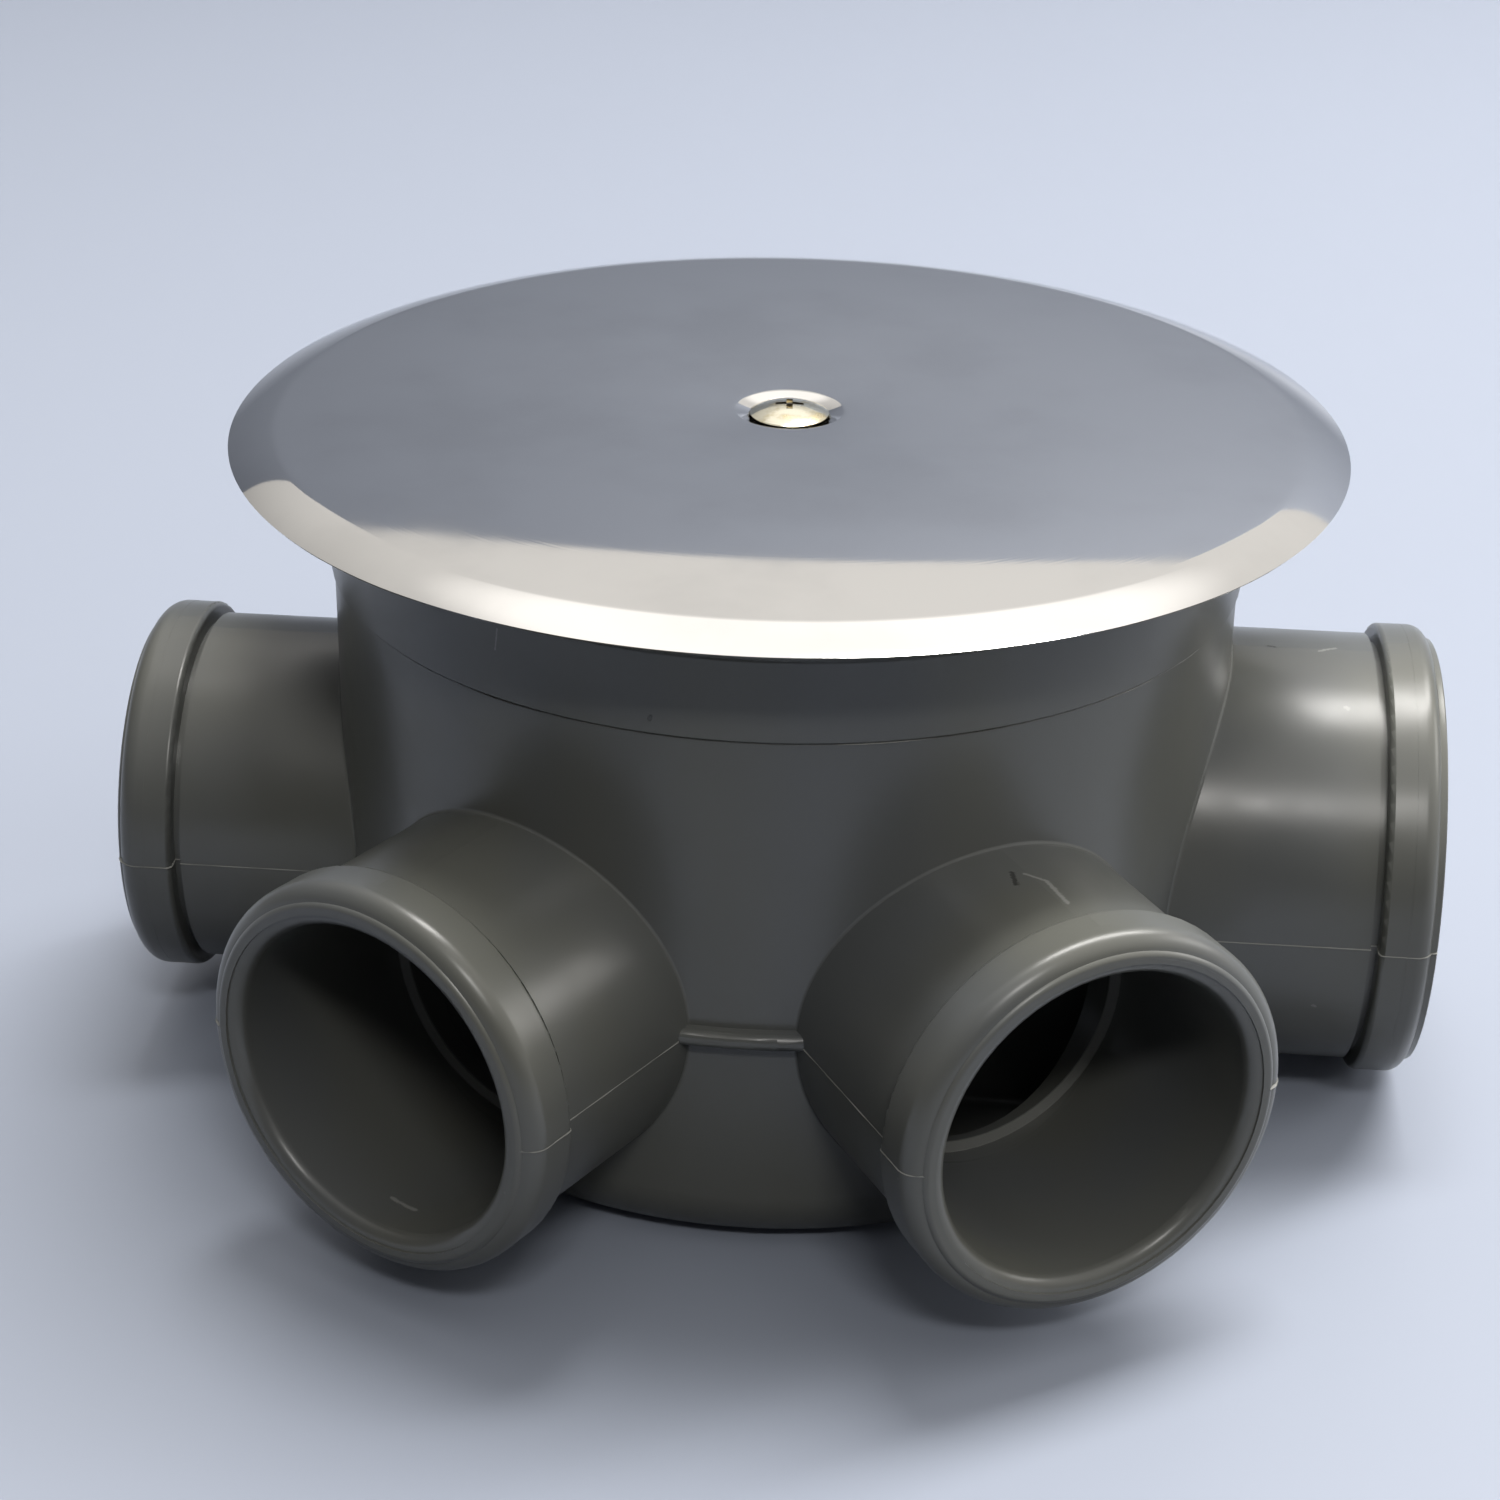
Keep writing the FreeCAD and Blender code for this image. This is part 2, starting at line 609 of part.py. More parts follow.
def make_cover_screw():
    """A raised countersunk screw with a cross recess."""
    body = new_body("cover_screw")
    rim_top = f"({HEAD_RIM} + Sizes.head_rim)"
    crown_top = f"({rim_top} + Sizes.head_crown)"
    neck = f"({HEAD_RIM} - Sizes.head_radius + Sizes.screw_radius)"
    tip = f"({rim_top} - Sizes.screw_length)"
    section = new_sketch(body, "ScrewOutline", "XZ_Plane")
    outline(
        section,
        [
            ("0", tip),
            ("Sizes.screw_radius - Sizes.tip_bevel", tip),
            ("Sizes.screw_radius", f"{tip} + Sizes.tip_bevel"),
            ("Sizes.screw_radius", neck),
            ("Sizes.head_radius", HEAD_RIM),
            ("Sizes.head_radius", rim_top, dish_round("Sizes.head_radius", "Sizes.head_crown"), "right"),
            ("0", crown_top),
        ],
    )
    turned(body, "Screw", section, "V_Axis")

    cross = new_sketch(body, "CrossPlan", "XY_Plane", lift=crown_top, turn="Sizes.cross_angle")
    outline(cross, cross_outline())
    before = body.Shape.Volume
    recess = body.newObject("PartDesign::Pocket", "Cross")
    recess.Profile = cross
    recess.setExpression("Length", "Sizes.cross_depth")
    doc.recompute()
    if recess.Shape.Volume >= before:
        raise RuntimeError("the cross recess cuts nothing")

    above = f"({crown_top} + Sizes.pit_depth)"
    pit_bottom = f"({crown_top} - Sizes.pit_depth)"
    pit = new_sketch(body, "PitOutline", "XZ_Plane")
    outline(
        pit,
        [
            ("0", pit_bottom),
            ("Sizes.pit_radius / 2", pit_bottom),
            ("Sizes.pit_radius", crown_top),
            ("Sizes.pit_radius", above),
            ("0", above),
        ],
    )
    turned(body, "Pit", pit, "V_Axis", cut=True)
    return body


def write(pieces):
    """Stops if anything failed, and otherwise writes each piece to its own file."""
    doc.recompute()
    failed = [item.Name for item in doc.Objects if {"Invalid", "Error"} & set(item.State)]
    if failed:
        raise RuntimeError(f"not built: {failed}")
    for piece in pieces:
        if piece.Shape.isNull() or not piece.Shape.isValid() or len(piece.Shape.Solids) != 1:
            raise RuntimeError(f"{piece.Label} is not one sound solid")
    os.makedirs("parts", exist_ok=True)
    for piece in pieces:
        piece.Shape.exportStep(f"parts/{piece.Label}.step")
        print(piece.Label, round(piece.Shape.Volume / 1000, 2), "cm3", len(piece.Shape.Faces), "faces")


write(
    [
        make_trap_body(),
        make_access_plug(),
        make_thread_insert(),
        make_plug_gasket(),
        make_cover_plate(),
        make_cover_screw(),
    ]
)
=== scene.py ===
import math
import random

import bmesh
import bpy
from mathutils import Matrix, Vector


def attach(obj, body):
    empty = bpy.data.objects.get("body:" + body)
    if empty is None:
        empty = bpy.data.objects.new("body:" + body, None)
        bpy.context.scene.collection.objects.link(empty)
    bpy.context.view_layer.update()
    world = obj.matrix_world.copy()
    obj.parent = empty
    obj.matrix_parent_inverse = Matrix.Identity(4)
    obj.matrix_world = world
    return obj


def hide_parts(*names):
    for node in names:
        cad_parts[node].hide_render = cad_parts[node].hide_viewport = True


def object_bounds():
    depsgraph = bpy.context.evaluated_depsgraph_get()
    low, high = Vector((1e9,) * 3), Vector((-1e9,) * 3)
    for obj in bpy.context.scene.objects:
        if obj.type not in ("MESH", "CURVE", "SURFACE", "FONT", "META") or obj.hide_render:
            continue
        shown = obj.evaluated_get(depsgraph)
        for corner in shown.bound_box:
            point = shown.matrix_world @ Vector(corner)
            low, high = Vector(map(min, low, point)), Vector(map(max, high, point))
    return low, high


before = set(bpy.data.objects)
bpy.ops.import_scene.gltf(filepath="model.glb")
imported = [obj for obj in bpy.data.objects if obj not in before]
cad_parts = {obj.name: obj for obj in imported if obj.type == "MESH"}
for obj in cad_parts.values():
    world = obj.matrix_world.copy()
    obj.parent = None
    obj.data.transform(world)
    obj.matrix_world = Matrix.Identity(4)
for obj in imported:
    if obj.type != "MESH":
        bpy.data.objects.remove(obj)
CAD_BOX = [list(corner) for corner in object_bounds()]

bl_info = {
    "name": "Floor trap",
    "version": (1, 0, 0),
    "blender": (4, 5, 0),
    "location": "View3D > Sidebar > Floor trap",
    "description": "Finishes the floor trap's solids, adds its fine detail and sets it in a studio",
    "category": "Object",
}

MM = 0.001

# Edges that turn by more than this are shaded sharp
LIT_EDGE = math.radians(35)

# Sizes of the solids that the added pieces sit on, in millimetres
PARTING_HEIGHT = 31.4
RIDGE_RADIUS = 61.0
COLLAR_LINE = 71.1
WALL_RADIUS = 59.0
COLLAR_BORE = 55.4
PLUG_SKIRT = 53.6
MOUTH = 86.2
INLET_PIPE = 23.75
OUTLET_PIPE = 28.75
GROOVE_START = 77.7
GROOVE_END = 78.7
GROOVE_DEPTH = 1.1
BEAD_HEIGHT = 1.45
BEAD_HEEL = 0.7
BEAD_LAND_END = 82.6
SOCKET_ANGLES = (0, 60, 120, 180, 240, 300)
SOCKET_SPACING = math.radians(60)

# How far the rims lie over the beads and the flash reaches into the plastic, in millimetres
RIM_PROUD = 0.012
FLASH_SINK = 0.05


# Sizes and colours that a user would change


class PvcLook(bpy.types.PropertyGroup):
    """The grey plastic of the body and the plug."""

    tone: bpy.props.FloatVectorProperty(
        name="Tone", description="Main grey of the plastic", subtype="COLOR", size=4, min=0, max=1,
        default=(0.135, 0.138, 0.122, 1),
    )
    cool_tone: bpy.props.FloatVectorProperty(
        name="Cool tone", description="Cooler grey that clouds the main one", subtype="COLOR", size=4,
        min=0, max=1, default=(0.127, 0.134, 0.135, 1),
    )
    # This paler grey colours real scuffs, rubbed rims and dust, and also paints highlights on the flash and
    # the pipe stops
    wear_and_highlight_tone: bpy.props.FloatVectorProperty(
        name="Flash tone", description="Paler grey of thin flash, scuffs and rubbed rims", subtype="COLOR",
        size=4, min=0, max=1, default=(0.33, 0.335, 0.317, 1),
    )
    # This dark grey colours the real nicks and also paints shade into the grooves behind the beads
    nick_and_shade_tone: bpy.props.FloatVectorProperty(
        name="Grime tone", description="Dark grey of dirt in grooves and nicks", subtype="COLOR", size=4,
        min=0, max=1, default=(0.028, 0.029, 0.026, 1),
    )
    roughness: bpy.props.FloatProperty(
        name="Roughness", description="Roughness of the moulded skin", subtype="FACTOR", min=0, max=1,
        default=0.3,
    )
    grain_height: bpy.props.FloatProperty(
        name="Grain height", description="Depth of the moulded skin's grain", unit="LENGTH", default=0.00006,
    )


class MetalLook(bpy.types.PropertyGroup):
    """The polished cover, its screw and the brass insert."""

    cover_tone: bpy.props.FloatVectorProperty(
        name="Cover tone", description="Colour of the polished cover", subtype="COLOR", size=4, min=0, max=1,
        default=(0.80, 0.79, 0.775, 1),
    )
    screw_tone: bpy.props.FloatVectorProperty(
        name="Screw tone", description="Colour of the screw's plating", subtype="COLOR", size=4, min=0, max=1,
        default=(0.76, 0.73, 0.60, 1),
    )
    tarnish_tone: bpy.props.FloatVectorProperty(
        name="Tarnish tone", description="Colour where the plating is thin", subtype="COLOR", size=4,
        min=0, max=1, default=(0.44, 0.34, 0.15, 1),
    )
    brass_tone: bpy.props.FloatVectorProperty(
        name="Brass tone", description="Colour of the insert", subtype="COLOR", size=4, min=0, max=1,
        default=(0.66, 0.47, 0.19, 1),
    )
    ripple: bpy.props.FloatProperty(
        name="Ripple", description="Height of the pressed cover's slight waves", unit="LENGTH",
        default=0.000022,
    )
    dent: bpy.props.FloatProperty(
        name="Dent", description="Depth of the small dents near the cover's edge", unit="LENGTH",
        default=0.00005,
    )


class FlashSizes(bpy.types.PropertyGroup):
    """The thin flash that the mould leaves at its parting plane."""

    height: bpy.props.FloatProperty(
        name="Height", description="How far the flash stands out", unit="LENGTH", default=0.00012,
    )
    width: bpy.props.FloatProperty(
        name="Width", description="Width of the flash at its foot", unit="LENGTH", default=0.00026,
    )
    nib: bpy.props.FloatProperty(
        name="Nib", description="How far the flash stands out at a socket's lip", unit="LENGTH",
        default=0.0003,
    )


class ThreadSizes(bpy.types.PropertyGroup):
    """The threads of plug and screw."""

    plug_pitch: bpy.props.FloatProperty(
        name="Plug pitch", description="Rise of the plug's thread in one turn", unit="LENGTH", default=0.004,
    )
    plug_depth: bpy.props.FloatProperty(
        name="Plug depth", description="Height of the thread's ridge on plug and collar", unit="LENGTH",
        default=0.0013,
    )
    screw_pitch: bpy.props.FloatProperty(
        name="Screw pitch", description="Rise of the screw's thread in one turn", unit="LENGTH",
        default=0.0008,
    )
    screw_depth: bpy.props.FloatProperty(
        name="Screw depth", description="Depth of the screw's thread", unit="LENGTH", default=0.0004,
    )


class StageLook(bpy.types.PropertyGroup):
    """Floor, backdrop and lamps."""

    floor_tone: bpy.props.FloatVectorProperty(
        name="Floor tone", description="Colour of floor and backdrop", subtype="COLOR", size=4, min=0, max=1,
        default=(0.37, 0.41, 0.50, 1),
    )
    ceiling_tone: bpy.props.FloatVectorProperty(
        name="Ceiling tone", description="Light from above", subtype="COLOR", size=4, min=0, max=1,
        default=(0.86, 0.835, 0.80, 1),
    )
    room_tone: bpy.props.FloatVectorProperty(
        name="Room tone", description="Light from the front, near the floor", subtype="COLOR", size=4,
        min=0, max=1, default=(0.03, 0.031, 0.035, 1),
    )
    bounce: bpy.props.FloatProperty(
        name="Bounce", description="Share of its light that the floor throws back", subtype="FACTOR",
        min=0, max=1, default=0.1,
    )
    overhead_power: bpy.props.FloatProperty(
        name="Overhead power", description="Watts of the lamp above the part", min=0, default=26.0,
    )
    front_power: bpy.props.FloatProperty(
        name="Front power", description="Watts of the lamp above the camera", min=0, default=4.7,
    )
    side_power: bpy.props.FloatProperty(
        name="Side power", description="Watts of the lamp on the outlet's side", min=0, default=3.6,
    )


# Meshes


def mesh_piece(name, points, faces, material):
    """A smooth-shaded mesh object in the scene, with its normals outward. Points are in millimetres."""
    mesh = bpy.data.meshes.new(name)
    mesh.from_pydata([Vector(point) * MM for point in points], [], faces)
    tidy = bmesh.new()
    tidy.from_mesh(mesh)
    bmesh.ops.recalc_face_normals(tidy, faces=tidy.faces)
    tidy.to_mesh(mesh)
    tidy.free()
    mesh.shade_smooth()
    mesh.set_sharp_from_angle(angle=LIT_EDGE)
    mesh.materials.append(material)
    piece = bpy.data.objects.new(name, mesh)
    bpy.context.scene.collection.objects.link(piece)
    return piece


def joined_rings(rings):
    """Points and faces of a tube through rings of points, closed round each ring and from ring to ring."""
    count = len(rings[0])
    points = [point for ring in rings for point in ring]
    faces = []
    for r in range(len(rings)):
        here = r * count
        there = (r + 1) % len(rings) * count
        for k in range(count):
            after = (k + 1) % count
            faces.append((here + k, here + after, there + after, there + k))
    return points, faces


def capped_rings(rings):
    """Points and faces of a tube through rings of points, with a flat cap at each end."""
    points, faces = joined_rings(rings)
    count = len(rings[0])
    faces = faces[: (len(rings) - 1) * count]
    faces.append(tuple(range(count)))
    faces.append(tuple(range(len(points) - count, len(points))))
    return points, faces


def around(radius, height, angle):
    return (radius * math.cos(angle), radius * math.sin(angle), height)


def arc(start, end, radius, bulge, steps):
    """Points on the short arc from start to end, both included. It bulges up or down."""
    (x0, y0), (x1, y1) = start, end
    length = math.hypot(x1 - x0, y1 - y0)
    up = (-(y1 - y0) / length, (x1 - x0) / length)
    if (up[1] > 0) != (bulge == "up"):
        up = (-up[0], -up[1])
    drop = math.sqrt(radius**2 - (length / 2) ** 2)
    cx = (x0 + x1) / 2 - up[0] * drop
    cy = (y0 + y1) / 2 - up[1] * drop
    first = math.atan2(y0 - cy, x0 - cx)
    sweep = math.atan2(y1 - cy, x1 - cx) - first
    sweep = (sweep + math.pi) % (2 * math.pi) - math.pi
    angles = [first + sweep * k / steps for k in range(steps + 1)]
    return [(cx + radius * math.cos(a), cy + radius * math.sin(a)) for a in angles]


def level_arc_radius(width, height):
    """Radius of an arc that is level at one end and has fallen by height over width at the other."""
    return (width**2 + height**2) / (2 * height)


# Node trees


def feed(tree, socket, value):
    """Links a socket to another one, or sets it to a plain value."""
    if isinstance(value, bpy.types.NodeSocket):
        tree.links.new(value, socket)
    else:
        socket.default_value = value


def put(tree, kind, inputs=None, **settings):
    """Adds a node with these settings and inputs."""
    node = tree.nodes.new(kind)
    for name, value in settings.items():
        setattr(node, name, value)
    for key, value in (inputs or {}).items():
        feed(tree, node.inputs[key], value)
    return node


def calc(tree, operation, *values):
    return put(tree, "ShaderNodeMath", dict(enumerate(values)), operation=operation).outputs[0]


def vector_calc(tree, operation, *values):
    return put(tree, "ShaderNodeVectorMath", dict(enumerate(values)), operation=operation)


def mixed(tree, share, first, second):
    return put(tree, "ShaderNodeMix", {0: share, 6: first, 7: second}, data_type="RGBA").outputs[2]


def ramp(tree, value, low, high, start=0.0, end=1.0):
    """A smooth step of a value from start, at low, to end, at high."""
    inputs = {0: value, 1: low, 2: high, 3: start, 4: end}
    return put(tree, "ShaderNodeMapRange", inputs, interpolation_type="SMOOTHSTEP").outputs[0]


def band(tree, value, low, high, soft):
    """A mask that is 1 where a value lies between low and high, with soft ends."""
    rising = ramp(tree, value, low - soft, low)
    falling = ramp(tree, value, high + soft, high)
    return calc(tree, "MULTIPLY", rising, falling)


def noise(tree, place, scale, detail):
    return put(tree, "ShaderNodeTexNoise", {"Vector": place, "Scale": scale, "Detail": detail}).outputs[0]


def stretched(tree, place, scale):
    return vector_calc(tree, "MULTIPLY", place, scale).outputs[0]


def own_place(tree):
    return put(tree, "ShaderNodeTexCoord").outputs["Object"]


def new_group(name, inputs, outputs):
    """A shader node group with these sockets. Returns its tree, its inputs and its outputs."""
    group = bpy.data.node_groups.new(name, "ShaderNodeTree")
    for label, kind, default in inputs:
        socket = group.interface.new_socket(label, in_out="INPUT", socket_type=kind)
        socket.default_value = default
    for label, kind in outputs:
        group.interface.new_socket(label, in_out="OUTPUT", socket_type=kind)
    inlet = group.nodes.new("NodeGroupInput")
    outlet = group.nodes.new("NodeGroupOutput")
    return group, inlet.outputs, outlet.inputs


def placed_group(tree, name, **inputs):
    """Puts a node group into a tree. Underscores in the names stand for spaces."""
    values = {key.replace("_", " "): value for key, value in inputs.items()}
    return put(tree, "ShaderNodeGroup", values, node_tree=bpy.data.node_groups[name]).outputs


FLOAT = "NodeSocketFloat"
VECTOR = "NodeSocketVector"


def make_socket_place_group():
    """How far a point is along and from the nearest socket's axis, and from the chamber's axis, in mm."""
    group, given, result = new_group(
        "Socket place",
        [("Place", VECTOR, (0, 0, 0))],
        [("Along", FLOAT), ("From Axis", FLOAT), ("From Middle", FLOAT)],
    )
    in_mm = vector_calc(group, "SCALE", given["Place"])
    in_mm.inputs["Scale"].default_value = 1 / MM
    axes = put(group, "ShaderNodeSeparateXYZ", {0: in_mm.outputs[0]}).outputs
    angle = calc(group, "ARCTAN2", axes["Y"], axes["X"])
    number = calc(group, "ROUND", calc(group, "DIVIDE", angle, SOCKET_SPACING))
    nearest = calc(group, "MULTIPLY", number, SOCKET_SPACING)
    turned = calc(group, "SUBTRACT", angle, nearest)
    level = stretched(group, in_mm.outputs[0], (1.0, 1.0, 0.0))
    away = vector_calc(group, "LENGTH", level).outputs["Value"]
    along = calc(group, "MULTIPLY", away, calc(group, "COSINE", turned))
    aside = calc(group, "MULTIPLY", away, calc(group, "SINE", turned))
    above = calc(group, "SUBTRACT", axes["Z"], PARTING_HEIGHT)
    squares = calc(group, "ADD", calc(group, "MULTIPLY", aside, aside), calc(group, "MULTIPLY", above, above))
    feed(group, result["Along"], along)
    feed(group, result["From Middle"], away)
    feed(group, result["From Axis"], calc(group, "SQRT", squares))


# The moulded skin: scales and spans of the noise in its clouds and its gloss, and the share of its fine grain
CLOUD_SCALE = 45.0
CLOUD_STRETCH = (1.0, 1.0, 0.3)
CLOUD_SPAN = (0.3, 0.75)
GLOSS_SCALE = 130.0
GLOSS_SPAN = (0.3, 0.7)
FINE_SHARE = 0.03


def make_grain_group():
    """The skin of a moulding: fine grain, slow waves and clouds of tone."""
    group, given, result = new_group(
        "Moulded skin",
        [("Place", VECTOR, (0, 0, 0)), ("Grain", FLOAT, 1600.0), ("Waves", FLOAT, 45.0)],
        [("Height", FLOAT), ("Cloud", FLOAT), ("Gloss", FLOAT)],
    )
    fine = noise(group, given["Place"], given["Grain"], 2.0)
    slow = noise(group, given["Place"], given["Waves"], 2.0)
    flow = noise(group, stretched(group, given["Place"], CLOUD_STRETCH), CLOUD_SCALE, 1.0)
    feed(group, result["Height"], calc(group, "ADD", calc(group, "MULTIPLY", fine, FINE_SHARE), slow))
    feed(group, result["Cloud"], ramp(group, flow, *CLOUD_SPAN))
    feed(group, result["Gloss"], noise(group, given["Place"], GLOSS_SCALE, 1.5))


# A scratch: scale of its broken edge, and the share of its half width that shows in full
RAGGED_SCALE = 2600.0
SCRATCH_CORE = 0.3


def make_scratch_group():
    """A mark along a straight line between two points, with a broken edge."""
    group, given, result = new_group(
        "Scratch",
        [
            ("Place", VECTOR, (0, 0, 0)),
            ("Start", VECTOR, (0, 0, 0)),
            ("End", VECTOR, (0, 0, 1)),
            ("Width", FLOAT, 0.0003),
            ("Ragged", FLOAT, 0.6),
        ],
        [("Mask", FLOAT)],
    )
    way = vector_calc(group, "SUBTRACT", given["End"], given["Start"]).outputs[0]
    gone = vector_calc(group, "SUBTRACT", given["Place"], given["Start"]).outputs[0]
    length = vector_calc(group, "DOT_PRODUCT", way, way).outputs["Value"]
    share = calc(group, "DIVIDE", vector_calc(group, "DOT_PRODUCT", gone, way).outputs["Value"], length)
    share = put(group, "ShaderNodeClamp", {0: share}).outputs[0]
    nearest = vector_calc(group, "SCALE", way)
    feed(group, nearest.inputs["Scale"], share)
    off = vector_calc(group, "SUBTRACT", gone, nearest.outputs[0]).outputs[0]
    distance = vector_calc(group, "LENGTH", off).outputs["Value"]
    rough = calc(group, "SUBTRACT", noise(group, given["Place"], RAGGED_SCALE, 2.0), 0.5)
    ragged = calc(group, "MULTIPLY", calc(group, "MULTIPLY", rough, given["Ragged"]), given["Width"])
    half = calc(group, "MULTIPLY", given["Width"], 0.5)
    core = calc(group, "MULTIPLY", half, SCRATCH_CORE)
    feed(group, result["Mask"], ramp(group, calc(group, "ADD", distance, ragged), half, core))


def make_speck_group():
    """Scattered small specks of dust."""
    group, given, result = new_group(
        "Specks",
        [
            ("Place", VECTOR, (0, 0, 0)),
            ("Scale", FLOAT, 200.0),
            ("Size", FLOAT, 0.05),
            ("Share", FLOAT, 0.05),
        ],
        [("Mask", FLOAT)],
    )
    cells = put(group, "ShaderNodeTexVoronoi", {"Vector": given["Place"], "Scale": given["Scale"]}).outputs
    luck = put(group, "ShaderNodeSeparateXYZ", {0: cells["Color"]}).outputs["X"]
    chosen = calc(group, "LESS_THAN", luck, given["Share"])
    dot = ramp(group, cells["Distance"], given["Size"], calc(group, "MULTIPLY", given["Size"], 0.5))
    feed(group, result["Mask"], calc(group, "MULTIPLY", chosen, dot))


# The span of the noise over which smears come up on metal
SMEAR_SPAN = (0.42, 0.72)


def make_turned_group():
    """Fine rings about the vertical axis, as turning or polishing leaves them."""
    group, given, result = new_group(
        "Turned rings",
        [("Place", VECTOR, (0, 0, 0)), ("Rings", FLOAT, 4000.0), ("Smears", FLOAT, 90.0)],
        [("Height", FLOAT), ("Smear", FLOAT)],
    )
    flat = stretched(group, given["Place"], (1.0, 1.0, 0.0))
    radius = vector_calc(group, "LENGTH", flat).outputs["Value"]
    axes = put(group, "ShaderNodeSeparateXYZ", {0: given["Place"]}).outputs
    way = calc(group, "ADD", radius, axes["Z"])
    inputs = {"W": way, "Scale": given["Rings"], "Detail": 3.0}
    feed(group, result["Height"], put(group, "ShaderNodeTexNoise", inputs, noise_dimensions="1D").outputs[0])
    smears = noise(group, given["Place"], given["Smears"], 5.0)
    feed(group, result["Smear"], ramp(group, smears, *SMEAR_SPAN))


# Materials


def new_material(name):
    """A material with one Principled shader. Returns the material, its tree and the shader."""
    material = bpy.data.materials.new(name)
    material.use_nodes = True
    tree = material.node_tree
    tree.nodes.clear()
    shader = put(tree, "ShaderNodeBsdfPrincipled")
    put(tree, "ShaderNodeOutputMaterial", {"Surface": shader.outputs[0]})
    return material, tree, shader


def raise_skin(tree, shader, height, distance):
    bump = put(tree, "ShaderNodeBump", {"Height": height, "Distance": distance, "Strength": 1.0})
    feed(tree, shader.inputs["Normal"], bump.outputs[0])


# Marks on the body in millimetres: start, end and width
NICKS = (
    ((31.1, -57.0, 55.1), (31.6, -59.6, 55.0), 0.9),
    ((64.0, 0.2, 60.1), (64.8, -0.1, 60.15), 0.7),
    ((-11.4, -58.3, 73.2), (-11.3, -58.3, 73.5), 0.7),
)
SCUFFS = (
    ((32.6, -57.2, 55.1), (35.2, -58.6, 55.1), 0.6),
    ((35.2, -58.6, 55.1), (37.6, -63.6, 55.1), 0.8),
    ((70.6, -0.6, 60.1), (72.8, 0.6, 60.1), 0.7),
    ((73.4, -12.0, 57.5), (73.7, -12.2, 57.4), 0.8),
    ((-30.1, -51.2, 80.4), (-30.4, -51.0, 77.6), 0.3),
    ((71.5, -27.1, 21.8), (71.8, -27.1, 21.6), 0.6),
    ((-41.6, -68.0, 11.4), (-38.4, -70.2, 11.4), 0.8),
)


def all_marks(tree, place, marks):
    """One mask over a list of marks."""
    total = 0.0
    for start, end, width in marks:
        ends = {"Start": Vector(start) * MM, "End": Vector(end) * MM}
        mask = placed_group(tree, "Scratch", Place=place, Width=width * MM, **ends)["Mask"]
        total = calc(tree, "MAXIMUM", total, mask)
    return total


# Where the plastic looks different on a socket, in millimetres along its axis: a rubbed lip, painted shade in
# the groove behind the bead, and a painted highlight on the face of the pipe stop in the bore
RUBBED_LIP = (84.9, 86.0)
SHADED_GROOVE = (77.75, 78.7)
PAINTED_LIGHT_STOP = (56.55, 56.8)

# Where a point counts as outside a pipe, in its bore or near it, in millimetres from its axis
OUTSIDE_PIPE = (22.0, 22.6)
IN_BORE = (20.5, 20.3)
NEAR_PIPE = (31.0, 30.0)

# Where the sockets grow out of the chamber's wall, in millimetres from its axis
SOCKET_ROOT = (WALL_RADIUS + 0.06, WALL_RADIUS + 0.4)

# How strongly each of these and each kind of mark shows
LIP_SHARE = 0.06
GROOVE_SHADE_SHARE = 0.12
STOP_HIGHLIGHT_SHARE = 0.8
NICK_SHARE = 0.75
SCUFF_SHARE = 0.7
SPECK_SHARE = 0.25
ROOT_DULLING = 0.35

# How far the roughness of the plastic strays from its mean, and its refraction
GLOSSIER = 0.02
DULLER = 0.03
PVC_IOR = 1.54


